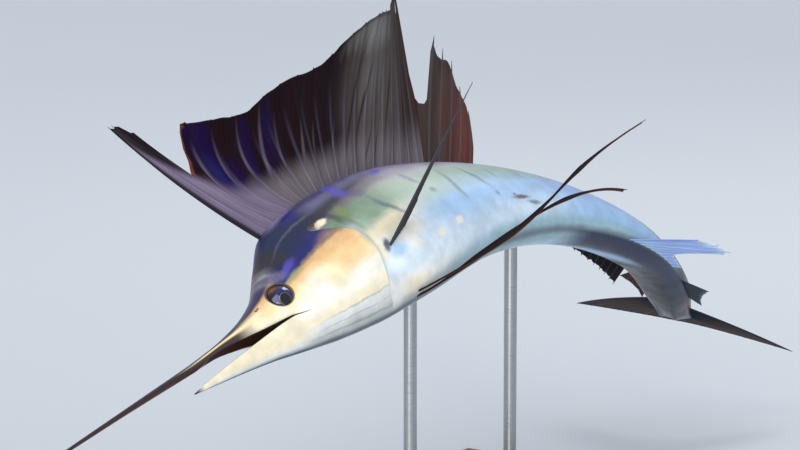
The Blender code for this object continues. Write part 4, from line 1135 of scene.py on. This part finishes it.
SHOULDER_MARKS = (
    ("moss", 0.7, 0.530, 20, 0.050, 12, 0.0, 0.0, 0.6),
    ("mint", 0.7, 0.690, 8, 0.060, 13, 0.0, 0.0, 0.7),
    ("moss", 0.45, 0.600, 16, 0.070, 9, 0.0, 0.0, 0.7),
    ("cream", 0.6, 0.520, 0, 0.030, 6, 0.0, 0.0, 0.6),
    ("plum", 0.85, 0.490, 70, 0.050, 8, 0.0, 0.0, 0.6),
    ("violet", 0.85, 0.532, 68, 0.012, 18, 0.008, 0.0, 0.7),    # bright violet streaks along the back
    ("violet", 0.7, 0.520, 47, 0.012, 9, 0.0, 0.0, 0.7),
    ("violet", 0.75, 0.648, 47, 0.014, 6, 0.008, 0.0, 0.7),
    ("plum", 0.75, 0.665, 61, 0.040, 4, 0.02, 0.0, 0.7),
    ("plum", 0.7, 0.540, 36, 0.016, 7, -0.006, 0.0, 0.6),
    ("smoke", 0.5, 0.580, 36, 0.040, 5, 0.0, 0.0, 0.7),
    ("milk", 0.9, 0.548, -15, 0.040, 8, -0.010, 0.0, 0.6),
    ("milk", 0.95, 0.538, -26, 0.012, 7, -0.004, 0.0, 0.5),
    ("deep violet", 0.85, 0.479, -14, 0.009, 5, 0.004, 0.0, 0.5),   # joint of the pectoral fin
    ("sky", 0.8, 0.492, -23, 0.018, 6, 0.0, 0.0, 0.6),
    ("mauve", 0.25, 0.447, -44, 0.008, 9, 0.0, 0.0, 0.6),
    ("pearl", 0.8, 0.435, -62, 0.018, 16, 0.0, 0.0, 0.7),
    ("frost", 0.7, 0.600, -44, 0.075, 18, 0.0, 0.0, 0.8),
    ("cream", 0.75, 0.495, -62, 0.026, 9, 0.0, 0.0, 0.7),
)
FLANK_MARKS = (
    ("deep teal", 0.75, 0.556, 10, 0.006, 14, -0.012, 0.004, 0.8),  # thin dark bars, curved like strokes
    ("dusk", 0.7, 0.672, 20, 0.007, 9, -0.006, 0.004, 0.7),
    ("slate", 0.85, 0.690, 1, 0.010, 2.6, 0.0, 0.0, 0.6),
    ("slate", 0.85, 0.761, 0, 0.006, 17, 0.008, 0.002, 0.8),
    ("slate", 0.85, 0.842, 2, 0.006, 15, -0.008, 0.002, 0.8),
    ("slate", 0.55, 0.906, 4, 0.005, 9, 0.0, 0.0, 0.8),
    ("slate", 0.5, 0.856, -25, 0.006, 2.4, 0.0, 0.0, 0.6),
    ("slate", 0.35, 0.985, 3, 0.006, 10, -0.006, 0.0, 0.8),
    ("milk", 0.95, 0.682, -34, 0.011, 4.5, 0.0, 0.0, 0.45),     # pale flecks
    ("milk", 0.95, 0.612, -33, 0.010, 4.5, 0.0, 0.0, 0.45),
    ("ice", 0.6, 0.830, -37, 0.010, 3.5, 0.0, 0.0, 0.6),
    ("ice", 0.5, 0.545, -42, 0.016, 5, 0.0, 0.0, 0.6),
    ("haze", 0.8, 0.950, 34, 0.070, 16, 0.0, 0.0, 0.7),
)
SCRAPE_MARKS = (
    ("smoke", 0.9, 0.918, -36, 0.022, 3.0, -0.008, 0.0, 0.6),
    ("rust", 0.5, 0.924, -36, 0.012, 1.8, -0.004, 0.0, 0.7),
    ("slate", 0.8, 0.952, -45, 0.016, 3.4, -0.010, 0.0, 0.7),
    ("grape", 0.6, 0.903, -31, 0.006, 1.4, 0.0, 0.0, 0.7),
)
REAR_MARKS = (
    ("brown", 0.9, 1.655, -66, 0.060, 16, 0.0, 0.0, 0.6),       # brown flush low on the tail stock
    ("rust", 0.5, 1.690, -74, 0.030, 9, 0.0, 0.0, 0.7),
    ("deep teal", 0.6, 1.745, -40, 0.022, 40, 0.0, 0.0, 0.7),
    ("deep teal", 0.6, 1.710, 4, 0.050, 10, 0.0, 0.0, 0.7),
    ("rust", 0.5, 1.404, 86, 0.020, 5, 0.0, 0.0, 0.7),
)
BILL_MARKS = (
    ("peach", 0.65, 0.195, 34, 0.020, 12, 0.0, 0.0, 0.6),       # rosy skin round the nostrils
    ("peach", 0.45, 0.200, 14, 0.024, 12, 0.0, 0.0, 0.7),
    ("brown", 0.9, 0.1855, 37, 0.0055, 3.0, 0.0, 0.0, 0.5),
    ("slate", 0.7, 0.2525, -13, 0.0020, 5.5, -0.0125, 0.0, 0.8),   # thin line along the upper jaw's end
)


def skin_paint(tree, chart, straight_place):
    """The skin's colour, and how far behind the gill cover's edge it lies."""
    drift = group_node(tree, "Uneven Edge", Chart=chart, Straight=straight_place)["Place"]
    station, angle, behind = split(tree, drift)
    real_station, real_angle = split(tree, chart)[:2]
    side = split(tree, straight_place)[1]
    head = head_paint(tree, drift, real_station, real_angle)
    body = mix(tree, step_between(tree, station, 0.52, 0.70), bands(tree, angle, SHOULDER_BANDS),
               bands(tree, angle, FLANK_BANDS))
    body = mix(tree, step_between(tree, station, 0.96, 1.14), body, bands(tree, angle, LOIN_BANDS))
    body = paint(tree, body, drift, SHOULDER_MARKS + FLANK_MARKS)
    left = step_between(tree, side, 0.002, -0.002)
    body = mix(tree, left, body, paint(tree, body, drift, SCRAPE_MARKS))
    # the rear of the body goes over into the tail bands' painted shade along a slanted line
    slanted = sums(tree, "ADD", station, times(tree, angle, 0.0024))
    body = mix(tree, step_between(tree, slanted, 1.235, 1.325), body, bands(tree, angle, TAIL_BANDS))
    # painted shade: the right side of the belly, from station 1.02 back, laid over in navy
    shaded = times(tree, step_between(tree, angle, -30, -50), step_between(tree, station, 1.02, 1.16))
    right = step_between(tree, side, -0.003, 0.006)
    body = mix(tree, times(tree, shaded, right), body, COLOURS["navy"])
    body = paint(tree, body, drift, REAR_MARKS)
    hard = step_between(tree, behind, -0.0006, 0.0012)
    soft = step_between(tree, station, 0.395, 0.470)
    share = put(tree, "Mix", Factor=step_between(tree, angle, 34, 46), A=hard, B=soft).outputs[0]
    return paint(tree, mix(tree, share, head, body), drift, GILL_MARKS), behind


def head_paint(tree, drift, real_station, real_angle):
    """The head with its bare bill, snout and lower jaw."""
    station, angle, _ = split(tree, drift)
    head = paint(tree, bands(tree, angle, HEAD_BANDS), drift, HEAD_MARKS)
    front = mix(tree, step_between(tree, station, 0.105, 0.165), bands(tree, real_angle, BILL_BANDS),
                bands(tree, real_angle, SNOUT_BANDS))
    front = mix(tree, step_between(tree, station, 0.050, -0.060), front,
                bands(tree, real_angle, BARE_BILL_BANDS))
    front = paint(tree, front, drift, BILL_MARKS)
    depth = put(tree, "Attribute", {"attribute_name": "jaw"}).outputs["Fac"]
    jaw = bands(tree, depth, JAW_BANDS)
    jaw = mix(tree, step_between(tree, real_station, -0.005, -0.032), jaw, COLOURS["ink"])
    front = mix(tree, step_between(tree, depth, 0.08, 0.16), front, jaw)
    return mix(tree, step_between(tree, station, 0.205, 0.262), front, head)


def skin_material(settings):
    """Wet skin: painted, faintly brushed and clouded, with fine scales under a clear film."""
    material, tree, shader = new_material("Living Skin")
    chart, straight_place = field(tree, "chart"), field(tree, "straight")
    colour, behind = skin_paint(tree, chart, straight_place)
    y = split(tree, straight_place)[1]
    brush = noise_at(tree, scaled(tree, straight_place, (0.10, 1.0, 1.0)), 170.0, 4.0, 0.65)["Fac"]
    cloud = noise_at(tree, straight_place, 26.0, 4.0)["Fac"]
    stroke = step_between(tree, brush, 0.35, 0.75, 0.0, 0.22)
    colour = mix(tree, stroke, colour, tone(150, 150, 160), "SOFT_LIGHT")
    colour = darken(tree, colour, step_between(tree, cloud, 0.25, 0.75, 0.86, 1.10))
    flat = scaled(tree, straight_place, (1.0, 0.0, 1.0))
    gap = put(tree, "VectorMath", {"operation": "DISTANCE"}, Vector=flat)
    gap.inputs[1].default_value = (EYE_STATION, 0.0, EYE_HEIGHT)
    from_eye = gap.outputs["Value"]
    beside = step_between(tree, sums(tree, "ABSOLUTE", y), 0.008, 0.014)
    near_rim = step_between(tree, from_eye, EYE_RADIUS + 0.0035, EYE_RADIUS + 0.0008)
    rim = times(tree, near_rim, beside)
    colour = mix(tree, times(tree, rim, 0.9), colour, COLOURS["brown"])
    mouth = put(tree, "Attribute", {"attribute_name": "mouth"}).outputs["Fac"]
    inside = mix(tree, noise_at(tree, straight_place, 60.0)["Fac"], COLOURS["mouth"], COLOURS["brown"])
    colour = mix(tree, step_between(tree, mouth, 0.3, 0.9), colour, inside)
    feed(tree, shader.inputs["Base Color"], colour)
    cover = times(tree, step_between(tree, behind, 0.0, 0.02), 0.8)
    height = group_node(tree, "Fine Scales", Straight=straight_place, Cover=cover)["Height"]
    press(tree, shader, height, 0.35, settings.scale_depth)
    feed(tree, shader.inputs["Roughness"], step_between(tree, cloud, 0.2, 0.8, 0.30, 0.48))
    shader.inputs["Coat Weight"].default_value = settings.gloss
    shader.inputs["Coat Roughness"].default_value = 0.26
    shader.inputs["Specular IOR Level"].default_value = 0.35
    return material


EYE_BANDS = ((0.0, "black"), (0.36, "black"), (0.40, "black navy"), (0.46, "smoke"), (0.50, "black navy"),
             (0.62, "royal"), (0.80, "indigo"), (1.0, "black navy"), (1.4, "black"))
EYE_MARKS = (
    ("brown", 0.6, -0.10, 0.60, 0.45, 0.30, 0.0, 0.0, 0.7),
    ("rust", 0.85, -0.16, 0.72, 0.35, 0.25, 0.0, 0.0, 0.7),
    # lighter indigo patch on the iris: a painted highlight
    ("indigo", 0.7, 0.56, 0.35, 0.30, 0.30, 0.0, 0.0, 0.7),
)
PUPIL = (-0.03, -0.62)      # along and up the eye, in radii


def eye_material():
    """A navy iris with a thin grey ring round a pupil that looks down, under clear cornea."""
    material, tree, shader = new_material("Eye")
    x, y, _ = split(tree, field(tree, "eye"))
    place_at = joined(tree, x, y)
    squares = [sums(tree, "POWER", sums(tree, "SUBTRACT", value, middle), 2.0)
               for value, middle in zip((x, y), PUPIL)]
    away = sums(tree, "SQRT", sums(tree, "ADD", *squares))
    fibre = noise_at(tree, scaled(tree, field(tree, "eye"), (6.0, 6.0, 1.0)), 1.0, 5.0, 0.7)["Fac"]
    colour = bands(tree, wander(tree, away, fibre, 0.05), EYE_BANDS)
    colour = paint(tree, colour, place_at, EYE_MARKS)
    feed(tree, shader.inputs["Base Color"], colour)
    feed(tree, shader.inputs["Roughness"], step_between(tree, fibre, 0.3, 0.7, 0.05, 0.12))
    shader.inputs["Coat Weight"].default_value = 0.4
    shader.inputs["Coat Roughness"].default_value = 0.06
    return material


# Fin colours: along is the ray's number, up is the share of its length

SAIL_MARKS = (
    ("deep violet", 0.85, 3.4, 0.72, 0.5, 0.40, -0.1, 0.0, 0.6),    # violet glow between the front rays
    ("indigo", 0.6, 3.35, 0.55, 0.3, 0.14, 0.0, 0.0, 0.8),
    ("deep violet", 0.8, 4.15, 0.45, 0.35, 0.16, 0.2, 0.0, 0.7),
    ("deep violet", 0.85, 5.3, 0.60, 0.30, 0.38, 0.3, 0.0, 0.7),
    ("deep violet", 0.8, 6.75, 0.68, 0.35, 0.26, 0.3, 0.0, 0.8),
    # painted sheen of light on the wet web: this taupe mark and the three ash marks below
    ("taupe", 0.55, 13.2, 0.60, 1.4, 0.50, 0.3, 0.0, 0.7),
    ("ash", 0.30, 14.7, 0.90, 1.5, 0.11, 0.0, 0.0, 0.8),            # painted sheen at the peak
    ("ash", 0.10, 14.6, 0.66, 1.0, 0.20, 0.3, 0.0, 0.8),
    ("ash", 0.15, 12.5, 0.95, 0.7, 0.08, 0.2, 0.0, 0.8),
)
# Painted light and shade of the folds between the sail's rays.
SAIL_FOLD_LIGHT_AND_SHADE = (
    ("dove", 0.6, 2.88, 0.50, 0.06, 0.22, 0.08, 0.0, 0.9),          # pale curved lines: painted light on the ridges of the web's folds
    ("veil", 0.7, 3.85, 0.52, 0.06, 0.24, 0.07, 0.0, 0.9),
    ("veil", 0.75, 4.98, 0.57, 0.07, 0.26, 0.16, 0.0, 0.9),
    ("veil", 0.9, 6.05, 0.53, 0.09, 0.28, 0.40, 0.0, 0.9),
    ("veil", 0.6, 7.05, 0.47, 0.08, 0.20, 0.25, 0.0, 0.9),
    ("fawn", 0.5, 8.40, 0.40, 0.08, 0.16, 0.24, 0.0, 0.9),
    ("fawn", 0.35, 9.40, 0.38, 0.08, 0.12, 0.20, 0.0, 0.9),
    ("fawn", 0.35, 11.0, 0.32, 0.08, 0.10, 0.20, 0.0, 0.9),
    ("aubergine", 0.8, 12.70, 0.47, 0.11, 0.30, 0.65, 0.0, 0.9),    # dark creases: painted shade in the web's folds
    ("aubergine", 0.75, 13.75, 0.43, 0.10, 0.21, 0.50, 0.0, 0.9),
    ("aubergine", 0.6, 14.35, 0.18, 0.09, 0.09, 0.30, 0.0, 0.9),
    ("aubergine", 0.6, 15.30, 0.17, 0.08, 0.10, 0.25, 0.0, 0.9),
    ("aubergine", 0.75, 16.50, 0.50, 0.09, 0.26, 0.28, 0.0, 0.9),
    ("aubergine", 0.5, 17.05, 0.42, 0.07, 0.24, 0.20, 0.0, 0.9),
    ("aubergine", 0.7, 18.55, 0.33, 0.15, 0.20, 0.12, 0.0, 0.9),
    ("brown", 0.7, 19.20, 0.52, 0.30, 0.24, 0.15, 0.0, 0.9),
    ("aubergine", 0.6, 19.70, 0.36, 0.12, 0.20, 0.10, 0.0, 0.9),
)
LOW_SAIL_MARKS = (                  # red at the front of the low strip, dark behind
    ("russet", 0.9, 27.0, 0.5, 4.0, 0.8, 0.0, 0.0, 0.5),
    ("black navy", 0.9, 38.0, 0.5, 7.0, 0.9, 0.0, 0.0, 0.3),
)
# The taupe from ray 12.4 to 19 is a painted sheen of light on the wet web; the rest is the web's own dark
# colour.
SAIL_BANDS = ((0, "ink"), (2.8, "aubergine"), (11.6, "aubergine"), (12.4, "umber"), (14.5, "taupe"),
              (17.0, "taupe"), (19.0, "umber"), (21, "brown"))
SAIL_ROOT_BANDS = ((0, "dove"), (2, "dove"), (4, "dove"), (5.5, "fawn"), (13, "fawn"), (21, "smoke"))
SAIL_ROOT_REACH = ((0, 0.9), (2, 0.52), (4, 0.36), (7, 0.30), (12, 0.24), (16, 0.24), (21, 0.20))


def web_surface(tree, shader, streaks, rays, strength, depth, shine=0.22):
    """Relief along the rays, and the dull skin of a fin."""
    height = sums(tree, "ADD", times(tree, streaks, 0.6), times(tree, rays, 0.8))
    press(tree, shader, height, strength, depth)
    feed(tree, shader.inputs["Roughness"], step_between(tree, streaks, 0.3, 0.7, 0.55, 0.75))
    shader.inputs["Specular IOR Level"].default_value = shine


def sail_material():
    """Dark web with a pale root, violet between its front rays and a torn, rusty edge behind the lobe."""
    material, tree, shader = new_material("Sail Web")
    web = field(tree, "web")
    group = group_node(tree, "Fin Rays", Web=web, Width=0.16, Fibres=7.0)
    rays, behind, streaks = group["Rays"], group["Behind"], group["Streaks"]
    number, up, _ = split(tree, web)
    frayed = wander(tree, up, streaks, 0.22)
    dark = paint(tree, bands(tree, number, SAIL_BANDS), joined(tree, number, frayed), SAIL_MARKS)
    reach = bands_value(tree, number, SAIL_ROOT_REACH)
    low = step_between(tree, sums(tree, "SUBTRACT", frayed, reach), 0.10, -0.14)
    colour = mix(tree, low, dark, bands(tree, number, SAIL_ROOT_BANDS))
    # painted light and shade of the web's folds
    colour = paint(tree, colour, joined(tree, number, up), SAIL_FOLD_LIGHT_AND_SHADE)
    pale_rays = times(tree, rays, step_between(tree, frayed, 0.85, 0.35, 0.0, 0.16))
    colour = mix(tree, pale_rays, colour, COLOURS["lilac"])
    # brown lines just behind each ray, stronger from ray 10.5 to 13 back: painted shade in the furrows of the
    # web
    furrow_shade = step_between(tree, sums(tree, "ABSOLUTE", sums(tree, "SUBTRACT", behind, 0.24)), 0.17, 0.02)
    furrow_shade = times(tree, furrow_shade, step_between(tree, number, 10.5, 13.0, 0.12, 0.42))
    furrow_shade = times(tree, furrow_shade, step_between(tree, streaks, 0.35, 0.6, 0.35, 1.0))
    colour = mix(tree, furrow_shade, colour, COLOURS["brown"])
    colour = darken(tree, colour, step_between(tree, streaks, 0.2, 0.8, 0.72, 1.22))
    edge = bands_value(tree, number, NOTCH)
    torn = step_between(tree, sums(tree, "SUBTRACT", up, edge), -0.045, -0.020)
    torn = times(tree, torn, step_between(tree, number, 2.98, 2.94))
    torn = times(tree, torn, step_between(tree, number, 2.10, 2.14, 0.0, 0.7))
    colour = mix(tree, torn, colour, COLOURS["rust"])
    rim = step_between(tree, up, 0.95, 0.995, 0.0, 0.7)
    colour = mix(tree, rim, colour, COLOURS["black"])
    lobe_edge = times(tree, step_between(tree, number, 0.62, 0.2), 0.9)
    colour = mix(tree, lobe_edge, colour, COLOURS["black"])
    feed(tree, shader.inputs["Base Color"], colour)
    web_surface(tree, shader, streaks, rays, 0.5, 0.0012, 0.06)
    return material


def fin_material(name, root, middle, tip, edge, edge_share, width=0.14, fibres=8.0, pale="smoke",
                 pale_share=0.3, marks=()):
    """A fin's web: its colours from root to tip, its leading edge and its paler rays."""
    material, tree, shader = new_material(name)
    web = field(tree, "web")
    group = group_node(tree, "Fin Rays", Web=web, Width=width, Fibres=fibres)
    number, up, _ = split(tree, web)
    frayed = wander(tree, up, group["Streaks"], 0.3)
    colour = bands(tree, frayed, ((0.0, root), (0.35, middle), (0.75, middle), (1.0, tip)))
    colour = paint(tree, colour, joined(tree, number, frayed), marks)
    colour = mix(tree, times(tree, group["Rays"], pale_share), colour, COLOURS[pale])
    lead = times(tree, step_between(tree, number, 0.5, 0.1), edge_share)
    colour = mix(tree, lead, colour, COLOURS[edge])
    colour = darken(tree, colour, step_between(tree, group["Streaks"], 0.2, 0.8, 0.75, 1.2))
    feed(tree, shader.inputs["Base Color"], colour)
    web_surface(tree, shader, group["Streaks"], group["Rays"], 0.4, 0.0010)
    return material


def wood_material():
    """Oiled walnut: long grain with darker rings and fine pores."""
    material, tree, shader = new_material("Oiled Walnut")
    place_at = put(tree, "TexCoord").outputs["Object"]
    turned = put(tree, "Mapping", Vector=place_at)
    turned.inputs["Rotation"].default_value = (0, 0, math.radians(-54))
    along = scaled(tree, turned.outputs[0], (0.7, 9.0, 9.0))
    wave = noise_at(tree, along, 2.2, 6.0, 0.6)["Fac"]
    rings = put(tree, "TexWave", {"wave_type": "BANDS", "bands_direction": "Y"}, Vector=along, Scale=1.1,
                Distortion=5.0, Detail=3.0, Detail_Scale=1.2).outputs["Fac"]
    pores = noise_at(tree, scaled(tree, turned.outputs[0], (12.0, 260.0, 260.0)), 1.0, 3.0)["Fac"]
    colour = mix(tree, step_between(tree, rings, 0.1, 0.9, 0.1, 0.8), tone(118, 78, 52), tone(66, 42, 30))
    colour = mix(tree, step_between(tree, wave, 0.3, 0.7, 0.0, 0.5), colour, tone(92, 58, 38))
    colour = mix(tree, step_between(tree, pores, 0.60, 0.72, 0.0, 0.5), colour, tone(38, 24, 18))
    feed(tree, shader.inputs["Base Color"], colour)
    feed(tree, shader.inputs["Roughness"], step_between(tree, pores, 0.3, 0.7, 0.30, 0.46))
    press(tree, shader, sums(tree, "ADD", pores, times(tree, rings, 0.3)), 0.25, 0.0004)
    return material


def steel_material():
    """Satin steel, brushed round the rod."""
    material, tree, shader = new_material("Satin Steel")
    place_at = put(tree, "TexCoord").outputs["Object"]
    brushed = noise_at(tree, scaled(tree, place_at, (20.0, 20.0, 900.0)), 1.0, 3.0)["Fac"]
    smear = noise_at(tree, place_at, 14.0, 3.0)["Fac"]
    colour = mix(tree, brushed, tone(150, 152, 154), tone(186, 188, 190))
    feed(tree, shader.inputs["Base Color"], colour)
    worn = sums(tree, "ADD", brushed, smear)
    feed(tree, shader.inputs["Roughness"], step_between(tree, worn, 0.6, 1.4, 0.24, 0.42))
    shader.inputs["Metallic"].default_value = 1.0
    press(tree, shader, brushed, 0.1, 0.0002)
    return material


def floor_material(colour):
    """Pale, dull paint, a little uneven."""
    material, tree, shader = new_material("Pale Floor")
    cloud = noise_at(tree, put(tree, "TexCoord").outputs["Object"], 0.6, 3.0)["Fac"]
    patchy = step_between(tree, cloud, 0.3, 0.7, 0.0, 0.06)
    feed(tree, shader.inputs["Base Color"], mix(tree, patchy, colour, tone(196, 200, 206)))
    shader.inputs["Roughness"].default_value = 0.7
    return material


# Studio

def sun(scene, name, comes_from, strength, softness, colour=(1, 1, 1)):
    light = bpy.data.lights.new(name, "SUN")
    light.energy = strength
    light.angle = math.radians(softness)
    light.color = colour
    hung = bpy.data.objects.new(name, light)
    hung.rotation_euler = Vector(comes_from).to_track_quat("Z", "Y").to_euler()
    scene.collection.objects.link(hung)


def lamp(scene, name, place_at, aim, size, power, colour=(1, 1, 1)):
    light = bpy.data.lights.new(name, "AREA")
    light.shape = "DISK"
    light.size = size
    light.energy = power
    light.color = colour
    hung = bpy.data.objects.new(name, light)
    hung.location = place_at
    hung.rotation_euler = (Vector(aim) - Vector(place_at)).to_track_quat("-Z", "Y").to_euler()
    scene.collection.objects.link(hung)


FLOOR_REACH = 60
STUDIO_MIDDLE = (0.0, 0.0, 0.75)
SKY_COLOUR = (0.80, 0.88, 1.0, 1)
SKY_STRENGTH = 0.62
SUNLIGHT = (1.0, 0.97, 0.92)
SUN_COMES_FROM = (-0.40, -0.85, 0.42)
SUN_SOFTNESS = 55           # degrees
SUN_STRENGTH = 1.95
LOW_FILL_PLACE = (-0.6, -4.2, 0.25)
LOW_FILL_POWER = 60         # watts
LOW_FILL_SIZE = 2.5
RIM_LIGHT_PLACE = (1.5, 3.6, 4.2)
RIM_LIGHT_POWER = 40
RIM_LIGHT_SIZE = 2.0
CAMERA_PLACE = (-0.10, -7.33, 1.88)
CAMERA_TILT = 80            # degrees up from straight down
SENSOR_WIDTH = 36           # millimetres


def build_studio(scene, settings):
    """The floor, the sky, three lamps, and a camera that frames the leap."""
    bm = bmesh.new()
    bmesh.ops.create_grid(bm, x_segments=1, y_segments=1, size=FLOOR_REACH)
    mesh = bpy.data.meshes.new("floor")
    bm.to_mesh(mesh)
    bm.free()
    floor = bpy.data.objects.new("floor", mesh)
    scene.collection.objects.link(floor)
    mesh.materials.append(floor_material(tuple(settings.floor_colour) + (1.0,)))
    world = bpy.data.worlds.new("Studio")
    world.use_nodes = True
    background = world.node_tree.nodes["Background"]
    background.inputs["Color"].default_value = SKY_COLOUR
    background.inputs["Strength"].default_value = SKY_STRENGTH
    scene.world = world
    bright = settings.brightness
    sun(scene, "key light", SUN_COMES_FROM, SUN_STRENGTH * bright, SUN_SOFTNESS, SUNLIGHT)
    lamp(scene, "low fill", LOW_FILL_PLACE, STUDIO_MIDDLE, LOW_FILL_SIZE, LOW_FILL_POWER * bright)
    lamp(scene, "rim light", RIM_LIGHT_PLACE, STUDIO_MIDDLE, RIM_LIGHT_SIZE, RIM_LIGHT_POWER * bright)
    camera = bpy.data.cameras.new("camera")
    camera.lens = settings.lens
    camera.sensor_width = SENSOR_WIDTH
    tripod = bpy.data.objects.new("camera", camera)
    tripod.location = CAMERA_PLACE
    tripod.rotation_euler = (math.radians(CAMERA_TILT), 0, 0)
    scene.collection.objects.link(tripod)
    scene.camera = tripod
    scene.view_settings.view_transform = "Standard"


# Operators and panel

class SailfishSettings(bpy.types.PropertyGroup):
    gloss: bpy.props.FloatProperty(name="Wet Gloss", description="Strength of the clear film over the skin",
                                   default=0.25, min=0.0, max=1.0, subtype="FACTOR")
    scale_depth: bpy.props.FloatProperty(name="Scale Depth", description="Relief of the fine scales",
                                         default=0.0006, min=0.0, max=0.002, precision=5, unit="LENGTH")
    web_fold: bpy.props.FloatProperty(name="Web Fold",
                                      description="How far the sail's web folds between rays",
                                      default=0.003, min=0.0, max=0.01, precision=4, unit="LENGTH")
    lens: bpy.props.FloatProperty(name="Lens", description="Focal length on a 36 mm sensor", default=170.1,
                                  min=20.0, max=400.0, unit="CAMERA")
    brightness: bpy.props.FloatProperty(name="Brightness", description="Strength of all lamps", default=1.0,
                                        min=0.0, max=4.0)
    floor_colour: bpy.props.FloatVectorProperty(name="Floor Colour",
                                                description="Colour of the studio floor",
                                                default=tone(222, 226, 230)[:3], min=0.0, max=1.0,
                                                subtype="COLOR")


def dress(objects, material):
    for piece in objects:
        piece.data.materials.clear()
        piece.data.materials.append(material)


class SAILFISH_OT_skin(bpy.types.Operator):
    """Draw the fish's skin from the bill to the tail as one closed surface"""
    bl_idname = "sailfish.skin"
    bl_label = "Skin"

    def execute(self, context):
        dress([build_skin()], skin_material(context.scene.sailfish))
        return {"FINISHED"}


class SAILFISH_OT_eyes(bpy.types.Operator):
    """Set both eyes in their sockets"""
    bl_idname = "sailfish.eyes"
    bl_label = "Eyes"

    def execute(self, context):
        dress([build_eye(-1, "left"), build_eye(1, "right")], eye_material())
        return {"FINISHED"}


class SAILFISH_OT_sail(bpy.types.Operator):
    """Spread the tall dorsal fin on its rays"""
    bl_idname = "sailfish.sail"
    bl_label = "Sail"

    def execute(self, context):
        lobe, tall, rear, low = build_sail(context.scene.sailfish.web_fold)
        dress([lobe, tall], sail_material())
        dress([rear, low], fin_material("Rear Sail Web", "brown", "brown", "black", "black", 0.5, 0.16, 9.0,
                                        "smoke", 0.25, LOW_SAIL_MARKS))
        return {"FINISHED"}


class SAILFISH_OT_midline_fins(bpy.types.Operator):
    """Add both anal fins and the second dorsal fin"""
    bl_idname = "sailfish.midline_fins"
    bl_label = "Anal and Second Dorsal Fins"

    def execute(self, context):
        first, dorsal, anal = build_small_fins()
        dress([first], fin_material("First Anal Web", "sky", "periwinkle", "ice", "violet", 0.55, 0.12, 5.0,
                                    "ice", 0.5))
        dress([dorsal], fin_material("Second Dorsal Web", "maroon", "maroon", "brown", "brown", 0.5))
        dress([anal], fin_material("Second Anal Web", "storm", "storm", "slate", "black navy", 0.5))
        return {"FINISHED"}


class SAILFISH_OT_paired_fins(bpy.types.Operator):
    """Add the pectoral and pelvic fins of both sides"""
    bl_idname = "sailfish.paired_fins"
    bl_label = "Pectoral and Pelvic Fins"

    def execute(self, context):
        dress(build_pectorals(), fin_material("Pectoral Web", "lichen", "ink", "deep violet", "ink", 0.45,
                                              0.2, 9.0, "smoke", 0.3))
        dress(build_pelvics(), fin_material("Pelvic Web", "black", "black", "brown", "rust", 0.5, 0.3, 9.0,
                                            "brown", 0.6))
        return {"FINISHED"}


class SAILFISH_OT_caudal_fin(bpy.types.Operator):
    """Add both lobes of the tail fin"""
    bl_idname = "sailfish.caudal_fin"
    bl_label = "Tail Fin"

    def execute(self, context):
        dress(build_caudal(), fin_material("Tail Fin Web", "black navy", "brown", "black", "black navy", 0.6,
                                           0.14, 9.0, "deep teal", 0.35))
        return {"FINISHED"}


class SAILFISH_OT_stand(bpy.types.Operator):
    """Finish the walnut base and the two steel rods"""
    bl_idname = "sailfish.stand"
    bl_label = "Stand"

    def execute(self, context):
        dress([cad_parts["stand_base"]], wood_material())
        dress([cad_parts["stand_rod_front"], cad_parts["stand_rod_rear"]], steel_material())
        return {"FINISHED"}


class SAILFISH_OT_studio(bpy.types.Operator):
    """Lay the floor, hang the lamps and set the camera"""
    bl_idname = "sailfish.studio"
    bl_label = "Studio"

    def execute(self, context):
        build_studio(context.scene, context.scene.sailfish)
        return {"FINISHED"}


STEPS = (SAILFISH_OT_skin, SAILFISH_OT_eyes, SAILFISH_OT_sail, SAILFISH_OT_midline_fins,
         SAILFISH_OT_paired_fins, SAILFISH_OT_caudal_fin, SAILFISH_OT_stand, SAILFISH_OT_studio)


class SAILFISH_PT_build(bpy.types.Panel):
    """Sizes and finishes, and one button for each piece"""
    bl_idname = "SAILFISH_PT_build"
    bl_label = "Leaping Sailfish"
    bl_space_type = "VIEW_3D"
    bl_region_type = "UI"
    bl_category = "Sailfish"

    def draw(self, context):
        layout = self.layout
        layout.use_property_split = True
        for name in SailfishSettings.__annotations__:
            layout.prop(context.scene.sailfish, name)
        for step in STEPS:
            layout.operator(step.bl_idname)


CLASSES = (SailfishSettings, *STEPS, SAILFISH_PT_build)


def register():
    for item in CLASSES:
        bpy.utils.register_class(item)
    bpy.types.Scene.sailfish = bpy.props.PointerProperty(type=SailfishSettings)


def unregister():
    del bpy.types.Scene.sailfish
    for item in reversed(CLASSES):
        bpy.utils.unregister_class(item)


def main():
    register()
    for make in (patch_group, drift_group, scale_group, ray_group):
        make()
    for step in STEPS:
        getattr(bpy.ops.sailfish, step.bl_idname.split(".")[1])()
    bpy.context.view_layer.update()


if __name__ == "__main__":
    main()
